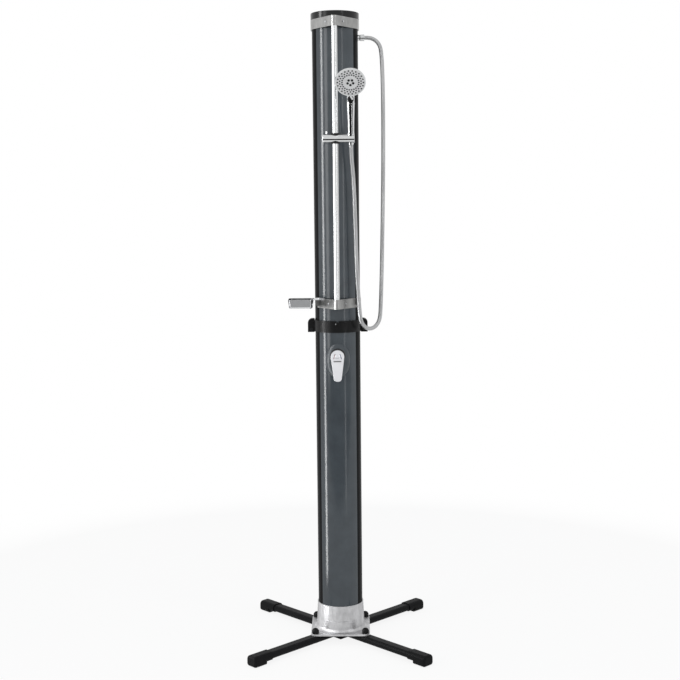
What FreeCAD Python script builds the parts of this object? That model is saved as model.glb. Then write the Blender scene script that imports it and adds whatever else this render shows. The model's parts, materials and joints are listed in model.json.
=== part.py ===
import FreeCAD, Part
import math
import os

# Outdoor shower post: two stacked water tanks make a round column, clamped together by a collar
# and stood in a cast foot on two crossed bars.  A hand shower rides on a rail in front of it, fed
# by a hose from the column's side, and a single-lever mixer sits at hip height.
# Millimetres.  The origin is on the floor at the column's axis, +Z is up, and the front is -Y.

V = FreeCAD.Vector
ORIGIN = V(0, 0, 0)
UP = V(0, 0, 1)
RIGHT = V(1, 0, 0)
BACK = V(0, 1, 0)
FRONT = V(0, -1, 0)

# ---- clearances ----
seat_gap = 0.1  # between pieces bonded, pressed or screwed together
running_gap = 0.08  # radial, between a shaft and the bore that it turns or slides in
free_gap = 0.3  # between moving pieces that only lie beside each other
thread_gap = 0.05  # radial, between a screw and its hole

# ---- column ----
column_radius = 78.0
tank_wall = 4.5
panel_thickness = 1.5
panel_half_angle = 53.0  # the grey front covers this much to each side of the front
column_top_z = 2180.0
column_joint_z = 1121.0  # where the lower tank ends and the upper one starts
cap_skirt = 4.0
cap_height = 23.0
cap_plate = 4.0
cap_edge_radius = 2.5
cap_plug_depth = 20.0
cap_plug_wall = 4.0
seal_height = 3.0
seal_depth = 1.8
coupler_length = 120.0
coupler_wall = 4.0
bottom_plug_plate = 6.0
bottom_plug_height = 26.0
bottom_plug_wall = 4.0

# ---- foot ----
foot_clearance = 10.5
leg_width = 42.0
leg_height = 24.0
leg_wall = 2.5
leg_corner = 11.0
leg_reach = 421.0  # from the column's axis to the end of a foot cap
foot_sleeve_length = 79.0
foot_block_length = 51.0
foot_cap_wall = 3.0
foot_cap_end = 4.0
foot_cap_edge = 8.0
foot_cap_corner = 10.0
cross_plate_side = 74.0
cross_plate_thickness = 6.0
casting_plate = 6.5
casting_plate_margin = 19.0  # how far the square plate stands out beyond the round body
casting_plate_corner = 18.0
casting_height = 98.5
casting_wall_top = 3.0
casting_wall_bottom = 6.5
casting_flare = 11.0
tank_socket_depth = 59.0
casting_shelf = 12.0
pad_half_angle = 36.0
pad_height = 20.0
pad_rise = 34.5
pad_proud = 1.8
bolt_edge_distance = 15.5
bolt_radius = 4.0
bolt_head_radius = 7.5
bolt_head_height = 4.0
bolt_flange_radius = 8.5
bolt_flange = 1.6
bolt_nut_height = 6.5
bolt_nut_radius = 7.5
bolt_end = 2.0  # how far a bolt stands out of its nut
bolt_dome_radius = 12.5
bolt_dome_height = 19.0
bolt_dome_shoulder = 9.5

# ---- collar ----
collar_height = 40.0
collar_thickness = 6.0
collar_split = 1.0  # half the gap between its two halves
ear_reach = 26.0  # beyond the column's skin
ear_thickness = 9.0
ear_height = 48.0
ear_corner = 16.0
ear_bolt_reach = 14.0
ear_bolt_rise = 10.0
ear_bolt_radius = 3.0
ear_bolt_head = 5.0
ear_bolt_head_height = 5.0
ear_bolt_socket = 3.0
ear_bolt_end = 2.0
ear_nut_radius = 5.7
ear_nut_height = 5.0
collar_notch = 5.0  # half its width, and its depth
collar_screw_side = 6.0
collar_screw_drop = 10.0
collar_screw_radius = 1.2
collar_screw_head = 1.9
collar_screw_sunk = 0.6
collar_screw_proud = 1.4

# ---- rail and its two bands ----
rail_radius = 10.0
rail_wall = 1.2
rail_standoff = 40.0  # from the column's skin to the rail's axis
rail_plug_depth = 10.0
band_height = 33.0
band_sheet = 1.6
upper_band_seat = 2.4  # the cap's sleeve between tank and upper band
upper_band_drop = 23.0  # from the column's top to the band's upper edge
lower_band_rise = 64.0  # from the column's joint to the band's lower edge
lower_band_half_angle = 59.0
band_lug_right = 14.0
band_lug_left = 6.0
band_lug_height = 26.0
band_screw_side = 29.0
band_screw_radius = 2.0
band_screw_head = 3.6
band_screw_length = 20.0
block_half_width = 30.0

# ---- slider and holder ----
slider_drop = 424.0  # from the column's top to the slider's axis
slider_radius = 15.3
slider_left = 43.0
holder_seam = 26.0
holder_right = 64.0
bush_wall = 2.8
bush_flange = 1.6
bush_flange_width = 2.4
spigot_radius = 8.0
spigot_length = 10.0
holder_screw_radius = 2.5
holder_screw_head = 4.4
holder_screw_head_height = 3.0
button_side = 29.0
button_radius = 3.0
button_proud = 9.5
button_travel = 3.0
button_depth = 5.0
pawl_radius = 2.5

# ---- hand shower ----
handset_side = 52.0  # its seat stands this far right of the rail
handset_lean = 16.0  # degrees, the top leans forward
cone_top = 18.0
cone_bottom = -20.0
cone_top_radius = 12.0
cone_bottom_radius = 9.0
cone_gap = 0.3
slot_width = 15.0
spigot_thread_radius = 9.3
spigot_thread_start = 4.0
waterway_radius = 5.0
handle_foot_radius = 11.0
handle_waist_radius = 11.7
handle_top_radius = 13.2
handle_top = 116.0
neck_ring_height = 3.0
neck_ring_proud = 0.5
neck_ring_depth = 1.5
neck_radius = 12.6
neck_knuckle_radius = 12.75
neck_bend = 138.0
neck_end_forward = 15.0
neck_end_drop = 12.0  # below the head's middle
neck_end_radius = 8.5
inlay_height = 132.3
inlay_half_width = 10.4
inlay_half_height = 13.0
inlay_back = 6.2  # its flat back, in front of the handle's axis
head_radius = 50.0
head_depth = 22.0
head_wall = 2.5
head_rim = 7.0
rim_forward = 12.898993  # the head's lower rim, in front of the handle's axis
rim_height = 147.015369  # and along it
face_tilt = 20.0
selector_width = 3.8
selector_depth = 4.7
selector_tab_length = 15.0
selector_tab_width = 5.5
selector_tab_thickness = 2.0
selector_tab_proud = 0.4
selector_tab_turn = 27.0
spray_plate_thickness = 3.0
mat_thickness = 1.0
nozzle_proud = 0.9
nozzle_radius = 1.9
nozzle_shares = (0.55, 0.70, 0.846)  # the rings' radii over the head's
nozzle_arms = 22
nozzle_twist = 8.0  # degrees from one ring to the next
jet_radius = 4.1
jet_share = 0.19
jet_count = 5
diverter_inset = 7.0
diverter_thickness = 3.5
diverter_hub = 7.0

# ---- side outlet ----
outlet_drop = 81.0  # from the column's top to the outlet's axis
outlet_pipe_radius = 7.0
outlet_bore = 4.5
outlet_inside = 14.0
outlet_neck_step = 1.5
outlet_flange_radius = 10.0
outlet_flange = 5.5
outlet_gasket_radius = 9.3
outlet_gasket = 3.0
hose_nut_radius = 11.3
hose_nut_length = 13.6
hose_nut_flutes = 12
hose_nut_flute = 0.8

# ---- mixer ----
mixer_drop = 99.5  # from the column's joint down to the lever's pivot
mixer_body_radius = 22.0
mixer_body_back = 44.0  # its back stands this far behind the column's skin
mixer_body_front = 9.0
nose_radius = 16.0
nose_reach = 6.5  # beyond the column's skin
cartridge_radius = 12.5
cartridge_back = 35.0
cartridge_front = 2.0
pivot_reach = 28.0  # from the column's skin to the lever's pivot
hub_radius = 23.0
hub_wall = 2.7
hub_back = 8.0
bonnet_gap = 0.5
bonnet_back = 12.0
bonnet_front = 4.0
bonnet_floor = 2.0
bonnet_bore = 15.5
spindle_radius = 5.0
spindle_depth = 6.0
fork_disc_radius = 13.0
fork_disc = 1.7
fork_cheek = 3.5
fork_front = 4.0
stem_half_width = 4.6
stem_boss_radius = 6.0
stem_length = 16.5
pivot_pin_radius = 2.0
lever_boss_radius = 8.5
lever_boss_back = 8.5
lever_length = 84.0
lever_end_half_width = 14.0
lever_end_radius = 12.0
lever_edge = 2.0
lever_thickness = 8.0
lever_front = 20.5
lever_flare = 4.0
mark_top = (8.5, 9.0)  # each mark's upper end: beside the pivot, and above it
mark_foot = (13.0, -6.0)
mark_radius = 1.2
mark_depth = 1.6
mark_proud = 0.3
bulge_half_width = 42.0
bulge_half_height = 64.0
bulge_depth = 24.0
bulge_sunk = 10.0
bulge_drop = 17.5
bulge_wall = 3.0
socket_radius = 10.0
socket_length = 20.0
socket_side = 12.0
socket_depth = 12.0
pipe_radius = 6.0
pipe_wall = 1.0

# ---- water inlet at the back ----
inlet_z = 200.0
inlet_pipe_radius = 8.0
inlet_bore = 5.0
connector_radius = 13.0
connector_flange = 3.0
connector_flange_radius = 16.0
connector_body = 20.0
nipple_radius = 8.0
nipple_groove = 7.0
nipple_tip = 6.8
nipple_land = 12.0  # the plain stretch that carries the hose clip
nipple_barb = 4.0
nipple_barbs = 3
tee_depth = 33.0  # from the column's axis back to the tee's middle
tee_radius = 11.0
tee_inset = 14.0  # from the tank's inner wall to the tee's mouth
tee_socket = 8.0
tee_half_height = 16.0

# ---- soap dish ----
dish_side = 2.0  # from the column's skin to the dish
dish_forward = 29.0
dish_length = 88.0
dish_width = 80.0
dish_height = 31.0
dish_taper = 4.0
dish_corner = 14.0
dish_foot_corner = 11.0
dish_foot_edge = 7.0
dish_wall = 2.0
dish_slots = 3
dish_slot_width = 4.0
dish_slot_length = 28.0
hook_sheet = 1.5
hook_left = 60.0
hook_right = 45.0
hook_front_drop = 6.0
hook_lip = 10.0
hook_lip_left = 50.0

# ---- hose ----
hose_radius = 7.0
hose_loop_rise = 25.5  # from the column's joint up to both ends of the loop
hose_loop_depth = 34.2
# Chosen by hand: out from the hose nut, forward of its axis, and the share of the whole fall.
hose_fall = [
    (17.2, 0.0, 0.0),
    (33.7, 0.1, 0.0064),
    (46.5, 0.2, 0.0184),
    (54.5, 0.4, 0.0343),
    (58.1, 0.7, 0.0661),
    (60.7, 1.5, 0.1207),
    (61.9, 3.0, 0.2089),
    (62.2, 6.0, 0.3244),
    (61.2, 10.0, 0.4609),
    (58.7, 14.0, 0.6079),
    (55.9, 17.5, 0.7444),
    (52.7, 20.0, 0.8724),
    (49.7, 21.6, 0.9543),
    (47.2, 22.2, 1.0),
]
# The half turn below: the share of the way across, and the share of its depth.
hose_loop = [(0.134, 0.635), (0.366, 1.0), (0.634, 1.0), (0.866, 0.635)]
# Up to the hand shower: right of its seat, behind its seat, and the share of the whole rise.
hose_rise = [
    (26.7, 32.2, 0.0),
    (23.3, 31.6, 0.0737),
    (18.0, 30.4, 0.2058),
    (14.5, 29.4, 0.3532),
    (12.5, 28.2, 0.5311),
    (9.5, 26.5, 0.709),
    (5.5, 23.0, 0.8445),
]
hose_end_run = 42.0

# ---- worked out ----
tank_bore = column_radius - tank_wall
recess_radius = column_radius - panel_thickness
leg_top_z = foot_clearance + leg_height
casting_plate_z = leg_top_z + casting_plate
casting_top_z = leg_top_z + casting_height
tank_seat_z = casting_top_z - tank_socket_depth
casting_bottom_radius = column_radius + casting_wall_bottom
plate_half = casting_bottom_radius + casting_plate_margin
bolt_offset = plate_half - bolt_edge_distance
tank_top_z = column_top_z - cap_plate - seat_gap
cap_radius = column_radius + cap_skirt
rail_offset = column_radius + rail_standoff
lower_band_inner = column_radius + seat_gap
upper_band_inner = lower_band_inner + upper_band_seat + seat_gap
nose_outer = rail_radius + seat_gap + band_sheet
nose_inner = nose_outer - band_sheet
upper_band_z = column_top_z - upper_band_drop - band_height
lower_band_z = column_joint_z + lower_band_rise
slider_z = column_top_z - slider_drop
bush_radius = rail_radius + running_gap + bush_wall
slider_bore = bush_radius + running_gap
outlet_z = column_top_z - outlet_drop
mixer_z = column_joint_z - mixer_drop
pivot_y = -column_radius - pivot_reach
bulge_z = mixer_z - bulge_drop
face_forward = rim_forward + head_radius * math.sin(math.radians(face_tilt))
face_height = rim_height + head_radius * math.cos(math.radians(face_tilt))
neck_end_height = face_height - neck_end_drop
diverter_radius = head_radius - diverter_inset
seat = V(handset_side, -rail_offset, slider_z)
pivot = V(0, pivot_y, mixer_z)
dish_right = column_radius + dish_side
dish_left = dish_right + dish_length
dish_front = column_radius + dish_forward
dish_back = dish_front - dish_width


# ---- shape helpers ----
def box(x0, x1, y0, y1, z0, z1):
    """A block between two corners."""
    return Part.makeBox(x1 - x0, y1 - y0, z1 - z0, V(x0, y0, z0))


def rod(radius, start, end):
    """A solid cylinder from one point to another."""
    return Part.makeCylinder(radius, (end - start).Length, start, end - start)


def tube(outer, inner, start, end):
    """A hollow cylinder from one point to another."""
    return rod(outer, start, end).cut(rod(inner, start, end))


def taper(radius_start, radius_end, start, end):
    """A solid cone frustum from one point to another."""
    return Part.makeCone(radius_start, radius_end, (end - start).Length, start, end - start)


def ring(outer, inner, z0, z1):
    """A hollow cylinder round the column's axis."""
    return tube(outer, inner, V(0, 0, z0), V(0, 0, z1))


def hexagon(radius, start, end):
    """A six-sided bar from one point to another, radius measured to its corners."""
    bar = rod(radius, start, end)
    axis = end - start
    turn = FreeCAD.Rotation(UP, axis)
    flat = radius * math.cos(math.radians(30))
    for k in range(6):
        side = Part.makeBox(radius, 4 * radius, axis.Length, V(flat, -2 * radius, 0))
        side.rotate(ORIGIN, UP, 60 * k)
        side.Placement = FreeCAD.Placement(start, turn).multiply(side.Placement)
        bar = bar.cut(side)
    return bar


def lathe(profile):
    """A solid turned about the Z axis from its outline, given as (radius, height) pairs."""
    corners = [V(r, 0, z) for r, z in profile]
    outline = Part.makePolygon(corners + corners[:1])
    return Part.Face(outline).revolve(ORIGIN, UP, 360)


def facing_front(shape, origin):
    """A shape made along +Z is laid along -Y, with its foot at origin."""
    shape = shape.copy()
    shape.rotate(ORIGIN, RIGHT, 90)
    shape.translate(origin)
    return shape


def sector(outer, inner, z0, z1, middle_angle, half_angle):
    """A piece of a hollow cylinder round the column's axis, angles counted from +X."""
    height = z1 - z0
    whole = Part.makeCylinder(outer, height, V(0, 0, z0), UP, 2 * half_angle)
    hollow = Part.makeCylinder(inner, height, V(0, 0, z0), UP, 360)
    whole.rotate(ORIGIN, UP, middle_angle - half_angle)
    return whole.cut(hollow)


def front_sector(outer, inner, z0, z1, half_angle):
    """A piece of a hollow cylinder centred on the front."""
    return sector(outer, inner, z0, z1, -90, half_angle)


def rounded_outline(half_x, half_y, radius, z):
    """A rectangle with round corners, centred on the axis, as a wire."""
    inset = radius * (1 - math.sqrt(0.5))
    edges = []
    last = None
    first = None
    for sx, sy, turned in ((1, -1, False), (1, 1, True), (-1, 1, False), (-1, -1, True)):
        along_x = V(sx * (half_x - radius), sy * half_y, z)
        along_y = V(sx * half_x, sy * (half_y - radius), z)
        middle = V(sx * (half_x - inset), sy * (half_y - inset), z)
        start, end = (along_y, along_x) if turned else (along_x, along_y)
        if last is not None:
            edges.append(Part.LineSegment(last, start).toShape())
        first = first or start
        edges.append(Part.Arc(start, middle, end).toShape())
        last = end
    edges.append(Part.LineSegment(last, first).toShape())
    return Part.Wire(edges)


def rounded_block(half_x, half_y, radius, z0, z1):
    """A block with round upright corners, centred on the axis."""
    return Part.Face(rounded_outline(half_x, half_y, radius, z0)).extrude(V(0, 0, z1 - z0))


def teardrop(big, small, distance, z0, height):
    """The column's circle and the rail's circle in one taut outline, as a solid."""
    slope = (big - small) / distance
    across = math.sqrt(1 - slope * slope)
    right_big = V(big * across, -big * slope, z0)
    left_big = V(-big * across, -big * slope, z0)
    right_small = V(small * across, -distance - small * slope, z0)
    left_small = V(-small * across, -distance - small * slope, z0)
    outline = [
        Part.Arc(right_big, V(0, big, z0), left_big).toShape(),
        Part.LineSegment(left_big, left_small).toShape(),
        Part.Arc(left_small, V(0, -distance - small, z0), right_small).toShape(),
        Part.LineSegment(right_small, right_big).toShape(),
    ]
    return Part.Face(Part.Wire(outline)).extrude(V(0, 0, height))


def mirrored(shape):
    """The same shape on the other side of the rail."""
    return shape.mirror(ORIGIN, RIGHT)


def route(points, radii=None):
    """Straight runs joined by tangent arcs, with the path, its length and each arc's radius."""
    edges = []
    found = []
    last = points[0]
    for k in range(1, len(points) - 1):
        back = points[k - 1] - points[k]
        ahead = points[k + 1] - points[k]
        half_turn = (math.pi - back.getAngle(ahead)) / 2
        radius = radii or 0.45 * min(back.Length, ahead.Length) / math.tan(half_turn)
        cut = radius * math.tan(half_turn)
        back.normalize()
        ahead.normalize()
        start = points[k] + back * cut
        end = points[k] + ahead * cut
        inward = back + ahead
        inward.normalize()
        middle = points[k] + inward * (radius / math.cos(half_turn) - radius)
        edges.append(Part.LineSegment(last, start).toShape())
        edges.append(Part.Arc(start, middle, end).toShape())
        last = end
        found.append(radius)
    edges.append(Part.LineSegment(last, points[-1]).toShape())
    wire = Part.Wire(edges)
    return wire, wire.Length, found


def swept(radius, wire, start, direction):
    """A round bar along a path."""
    section = Part.Wire(Part.makeCircle(radius, start, direction))
    return wire.makePipeShell([section], True, False)


def pipe(points, radius, wall, bend):
    """A hollow pipe along straight runs and bends."""
    wire, _, _ = route(points, bend)
    direction = points[1] - points[0]
    return swept(radius, wire, points[0], direction).cut(
        swept(radius - wall, wire, points[0], direction)
    )


# ---- foot ----
def leg_bar(inset=0.0):
    """One floor bar along X before it is turned, solid, shrunk by inset."""
    reach = leg_reach - foot_cap_end - seat_gap
    bar = rounded_block(
        leg_width / 2 - inset, leg_height / 2 - inset, leg_corner - inset, -reach, reach
    )
    bar.rotate(ORIGIN, UP, 90)
    bar.rotate(ORIGIN, BACK, 90)
    bar.translate(V(0, 0, foot_clearance + leg_height / 2))
    return bar


def leg(angle, keep_top):
    """A hollow floor bar, half of its depth cut away where the other bar crosses it."""
    bar = leg_bar().cut(leg_bar(leg_wall))
    half = leg_width / 2 + free_gap
    middle = foot_clearance + leg_height / 2
    low, high = (foot_clearance - 1, middle) if keep_top else (middle, leg_top_z + 1)
    bar = bar.cut(box(-half, half, -leg_width, leg_width, low, high))
    for side in (-1, 1):
        away = side * bolt_offset * math.sqrt(2)
        bar = bar.cut(rod(bolt_radius + thread_gap, V(away, 0, 0), V(away, 0, leg_top_z + 1)))
    bar.rotate(ORIGIN, UP, angle)
    return bar


def foot_caps():
    """A plastic cap over each end of the bars: a sleeve, and a block that stands on the floor."""
    half_width = leg_width / 2 + foot_cap_wall
    top = leg_top_z + foot_cap_wall
    root = leg_reach - foot_block_length
    middle = (root + leg_reach) / 2
    cap = box(root, leg_reach, -half_width, half_width, 0, top)
    for height, radius in ((top, leg_corner + foot_cap_wall), (0, foot_cap_corner)):
        edges = [
            e
            for e in cap.Edges
            if abs(e.CenterOfMass.x - middle) < 1 and abs(e.CenterOfMass.z - height) < 1
        ]
        cap = cap.makeFillet(radius, edges)
    end_edges = [e for e in cap.Edges if e.CenterOfMass.x > leg_reach - 0.1]
    cap = cap.makeFillet(foot_cap_edge, end_edges)
    around = box(leg_reach - foot_sleeve_length, middle, -half_width, half_width, 0, top)
    sleeve = leg_bar(-foot_cap_wall).common(around)
    cap = cap.fuse(sleeve).removeSplitter().cut(leg_bar(-seat_gap))
    caps = []
    for angle in (45, 135, 225, 315):
        turned = cap.copy()
        turned.rotate(ORIGIN, UP, angle)
        caps.append(turned)
    return Part.makeCompound(caps)


def cross_plate():
    """The square plate welded under the crossing of the two bars."""
    half = cross_plate_side / 2
    low = foot_clearance - cross_plate_thickness
    plate = box(-half, half, -half, half, low, foot_clearance)
    plate.rotate(ORIGIN, UP, 45)
    return plate


def casting():
    """The cast foot: a square plate with a round socket for the column."""
    plate = rounded_block(plate_half, plate_half, casting_plate_corner, leg_top_z, casting_plate_z)
    top_radius = column_radius + casting_wall_top
    bottom = casting_bottom_radius
    flare = casting_flare
    bend = flare * (1 - math.sqrt(0.5))
    edges = [
        Part.LineSegment(V(0, 0, leg_top_z), V(bottom + flare, 0, leg_top_z)).toShape(),
        Part.LineSegment(V(bottom + flare, 0, leg_top_z), V(bottom + flare, 0, casting_plate_z)).toShape(),
        Part.Arc(
            V(bottom + flare, 0, casting_plate_z),
            V(bottom + bend, 0, casting_plate_z + bend),
            V(bottom, 0, casting_plate_z + flare),
        ).toShape(),
        Part.LineSegment(V(bottom, 0, casting_plate_z + flare), V(top_radius, 0, casting_top_z)).toShape(),
        Part.LineSegment(V(top_radius, 0, casting_top_z), V(0, 0, casting_top_z)).toShape(),
        Part.LineSegment(V(0, 0, casting_top_z), V(0, 0, leg_top_z)).toShape(),
    ]
    body = Part.Face(Part.Wire(edges)).revolve(ORIGIN, UP, 360)
    pad_low = leg_top_z + pad_rise - pad_height / 2
    pad = front_sector(
        bottom + pad_proud, column_radius + 1, pad_low, pad_low + pad_height, pad_half_angle
    )
    socket = rod(column_radius + seat_gap, V(0, 0, tank_seat_z), V(0, 0, casting_top_z))
    well = rod(column_radius - casting_shelf, V(0, 0, leg_top_z), V(0, 0, tank_seat_z))
    whole = plate.fuse(body).fuse(pad).removeSplitter().cut(socket).cut(well)
    for x, y in bolt_places():
        whole = whole.cut(
            rod(bolt_radius + thread_gap, V(x, y, leg_top_z), V(x, y, casting_plate_z + casting_flare))
        )
    return whole


def bolt_places():
    """Where the four bolts stand, over the four bars."""
    return [(sx * bolt_offset, sy * bolt_offset) for sx in (-1, 1) for sy in (-1, 1)]


def at_bolts(make):
    """One copy of a fastener at each bolt, as separate solids in one shape."""
    return Part.makeCompound([make(x, y) for x, y in bolt_places()])


def base_bolt(x, y):
    """A bolt from under the bar, through the plate."""
    head = hexagon(
        bolt_head_radius, V(x, y, foot_clearance - bolt_head_height), V(x, y, foot_clearance)
    )
    top = casting_plate_z + bolt_flange + bolt_nut_height + bolt_end
    return head.fuse(rod(bolt_radius, V(x, y, foot_clearance), V(x, y, top)))


def base_nut(x, y):
    """A flanged nut on the plate."""
    low = V(x, y, casting_plate_z)
    seat_top = low + UP * bolt_flange
    high = seat_top + UP * bolt_nut_height
    nut = rod(bolt_flange_radius, low, seat_top).fuse(hexagon(bolt_nut_radius, seat_top, high))
    return nut.cut(rod(bolt_radius + thread_gap, low, high))


def bolt_dome(x, y):
    """A round-topped cover pushed over a nut."""
    low = casting_plate_z
    shoulder = low + bolt_dome_shoulder
    high = low + bolt_dome_height
    reach = 2 * bolt_dome_radius
    top = Part.makeSphere(bolt_dome_radius, V(x, y, high - bolt_dome_radius))
    top = top.common(box(x - reach, x + reach, y - reach, y + reach, shoulder, high))
    body = rod(bolt_dome_radius, V(x, y, low), V(x, y, shoulder)).fuse(top)
    clear = bolt_flange + bolt_nut_height + bolt_end + seat_gap
    grip = bolt_flange_radius + seat_gap
    return body.removeSplitter().cut(rod(grip, V(x, y, low), V(x, y, low + clear)))


# ---- column ----
def tank(z0, z1):
    """A length of tank tube, with a shallow recess in front for the grey panel."""
    recess = front_sector(column_radius + 1, recess_radius, z0, z1, panel_half_angle)
    return ring(column_radius, tank_bore, z0, z1).cut(recess)


def panel(z0, z1):
    """The grey front skin of a tank, flush with its round."""
    edge = math.degrees(seat_gap / column_radius)
    return front_sector(column_radius, recess_radius + seat_gap, z0, z1, panel_half_angle - edge)


def mixer_hole():
    """The round hole in tank and panel that the mixer's nose passes through."""
    return rod(nose_radius + seat_gap, V(0, 0, mixer_z), V(0, -column_radius - 5, mixer_z))


def inlet_hole():
    """The hole at the back for the inlet pipe."""
    return rod(inlet_pipe_radius + seat_gap, V(0, 0, inlet_z), V(0, column_radius + 5, inlet_z))


def outlet_hole():
    """The hole at the right for the outlet pipe."""
    return rod(outlet_pipe_radius + seat_gap, V(0, 0, outlet_z), V(column_radius + 5, 0, outlet_z))


def tank_lower():
    """The lower tank, stood in the casting."""
    shell = tank(tank_seat_z, column_joint_z - seat_gap / 2)
    return shell.cut(mixer_hole()).cut(inlet_hole())


def tank_upper():
    """The upper tank, with the side outlet's hole."""
    shell = tank(column_joint_z + seat_gap / 2, tank_top_z)
    return shell.cut(outlet_hole()).cut(collar_screw(thread_gap))


def panel_lower():
    """The lower grey front."""
    return panel(tank_seat_z, column_joint_z - seat_gap / 2).cut(mixer_hole())


def panel_upper():
    """The upper grey front."""
    return panel(column_joint_z + seat_gap / 2, tank_top_z).cut(collar_screw(thread_gap))


def groove(z, gap=0.0):
    """The ring that a seal fills, round a plug inside the tank."""
    low = z - seal_height / 2 - gap
    return ring(tank_bore - seat_gap / 2, tank_bore - seal_depth - gap, low, low + seal_height + 2 * gap)


def coupler_seal_heights():
    """Heights of the two seals, one in each tank."""
    return [column_joint_z + side * coupler_length / 4 for side in (-1, 1)]


def tank_coupler():
    """The sleeve inside both tanks where they meet."""
    low = column_joint_z - coupler_length / 2
    outer = tank_bore - seat_gap
    sleeve = ring(outer, outer - coupler_wall, low, low + coupler_length)
    for z in coupler_seal_heights():
        sleeve = sleeve.cut(groove(z, seat_gap / 2))
    return sleeve


def tank_seals():
    """The rubber rings: two round the sleeve, one round the bottom plug and one in the lid."""
    heights = coupler_seal_heights() + [bottom_seal_z(), cap_seal_z()]
    return Part.makeCompound([groove(z) for z in heights])


def tank_bottom_plug():
    """The cup that closes the lower tank."""
    low = tank_seat_z
    outer = tank_bore - seat_gap
    wall = outer - bottom_plug_wall
    cup = rod(outer, V(0, 0, low), V(0, 0, low + bottom_plug_height))
    cup = cup.cut(rod(wall, V(0, 0, low + bottom_plug_plate), V(0, 0, low + bottom_plug_height)))
    return cup.cut(groove(bottom_seal_z(), seat_gap / 2))


def bottom_seal_z():
    """Height of the bottom plug's seal."""
    return tank_seat_z + bottom_plug_height / 2


def top_cap():
    """The black lid: a rim, a sleeve under the upper band, and a plug inside the tank."""
    rim_z = column_top_z - cap_height
    under = column_top_z - cap_plate
    disc = rod(cap_radius, V(0, 0, rim_z), V(0, 0, column_top_z))
    top_edge = [e for e in disc.Edges if e.CenterOfMass.z > column_top_z - 0.1 and e.Length > cap_radius]
    disc = disc.makeFillet(cap_edge_radius, top_edge)
    low = upper_band_z
    sleeve = upper_band_inner - seat_gap
    disc = disc.fuse(rod(sleeve, V(0, 0, low), V(0, 0, rim_z))).removeSplitter()
    disc = disc.cut(ring(column_radius + seat_gap, tank_bore - seat_gap, low, under))
    plug_wall = tank_bore - seat_gap - cap_plug_wall
    disc = disc.cut(rod(plug_wall, V(0, 0, low), V(0, 0, under)))
    disc = disc.cut(rod(tank_bore, V(0, 0, low), V(0, 0, under - cap_plug_depth)))
    return disc.cut(groove(cap_seal_z(), seat_gap / 2))


def cap_seal_z():
    """Height of the lid's seal."""
    return column_top_z - cap_plate - cap_plug_depth / 2


# ---- collar ----
def ear(side):
    """One ear, round at its upper outer corner, before it is cut to the front or the back half."""
    low = column_joint_z - ear_height / 2
    high = low + ear_height
    root = column_radius + collar_thickness / 2
    tip = column_radius + ear_reach
    turn = tip - ear_corner
    bend = ear_corner * (1 - math.sqrt(0.5))
    face = -ear_thickness
    corner = Part.Arc(V(tip, face, high - ear_corner), V(tip - bend, face, high - bend), V(turn, face, high))
    outline = [
        Part.LineSegment(V(root, face, high), V(root, face, low)).toShape(),
        Part.LineSegment(V(root, face, low), V(tip, face, low)).toShape(),
        Part.LineSegment(V(tip, face, low), V(tip, face, high - ear_corner)).toShape(),
        corner.toShape(),
        Part.LineSegment(V(turn, face, high), V(root, face, high)).toShape(),
    ]
    plate = Part.Face(Part.Wire(outline)).extrude(V(0, 2 * ear_thickness, 0))
    return mirrored(plate) if side < 0 else plate


def ear_bolt_axis(side):
    """Where a collar bolt runs, from front to back."""
    x = side * (column_radius + ear_bolt_reach)
    z = column_joint_z - ear_height / 2 + ear_bolt_rise
    return x, z


def collar(sign):
    """Half of the collar, sign -1 in front and +1 at the back."""
    low = column_joint_z - collar_height / 2
    inner = column_radius + seat_gap
    outer = column_radius + collar_thickness
    whole = rod(outer, V(0, 0, low), V(0, 0, low + collar_height)).fuse(ear(-1)).fuse(ear(1))
    whole = whole.removeSplitter().cut(rod(inner, V(0, 0, low), V(0, 0, low + collar_height)))
    reach = column_radius + 2 * ear_reach
    near, far = sorted((sign * collar_split, sign * reach))
    half = box(-reach, reach, near, far, column_joint_z - ear_height, column_joint_z + ear_height)
    piece = whole.common(half)
    for side in (-1, 1):
        x, z = ear_bolt_axis(side)
        piece = piece.cut(rod(ear_bolt_radius + thread_gap, V(x, -reach, z), V(x, reach, z)))
    return piece


def collar_front():
    """The front half, with a notch in its upper edge and one small screw."""
    top = column_joint_z + collar_height / 2
    notch = box(-collar_notch, collar_notch, -cap_radius * 2, -tank_bore, top - collar_notch, top + 1)
    return collar(-1).cut(notch).cut(collar_screw(thread_gap))


def collar_screw(gap=0.0):
    """The small bright screw through the collar into the upper tank."""
    z = column_joint_z + collar_height / 2 - collar_screw_drop
    x = -collar_screw_side
    face = -math.sqrt((column_radius + collar_thickness) ** 2 - x * x)
    inside = -tank_bore - tank_wall / 2
    shank = rod(collar_screw_radius + gap, V(x, inside + gap, z), V(x, face, z))
    back = V(x, face + collar_screw_sunk, z)
    head = rod(collar_screw_head + gap, back, V(x, face - collar_screw_proud, z))
    return shank.fuse(head)


def collar_bolts():
    """The bolts that draw the two halves together."""
    bolts = []
    for side in (-1, 1):
        x, z = ear_bolt_axis(side)
        face = -ear_thickness
        front = V(x, face - ear_bolt_head_height, z)
        head = rod(ear_bolt_head, V(x, face, z), front)
        socket = hexagon(ear_bolt_radius, front + BACK * ear_bolt_socket, front)
        end = V(x, ear_thickness + ear_nut_height + ear_bolt_end, z)
        bolts.append(head.cut(socket).fuse(rod(ear_bolt_radius, V(x, face, z), end)))
    return Part.makeCompound(bolts)


def collar_nuts():
    """The nuts on those bolts."""
    nuts = []
    for side in (-1, 1):
        x, z = ear_bolt_axis(side)
        start = V(x, ear_thickness, z)
        end = V(x, ear_thickness + ear_nut_height, z)
        hole = rod(ear_bolt_radius + thread_gap, start, end)
        nuts.append(hexagon(ear_nut_radius, start, end).cut(hole))
    return Part.makeCompound(nuts)


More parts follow.
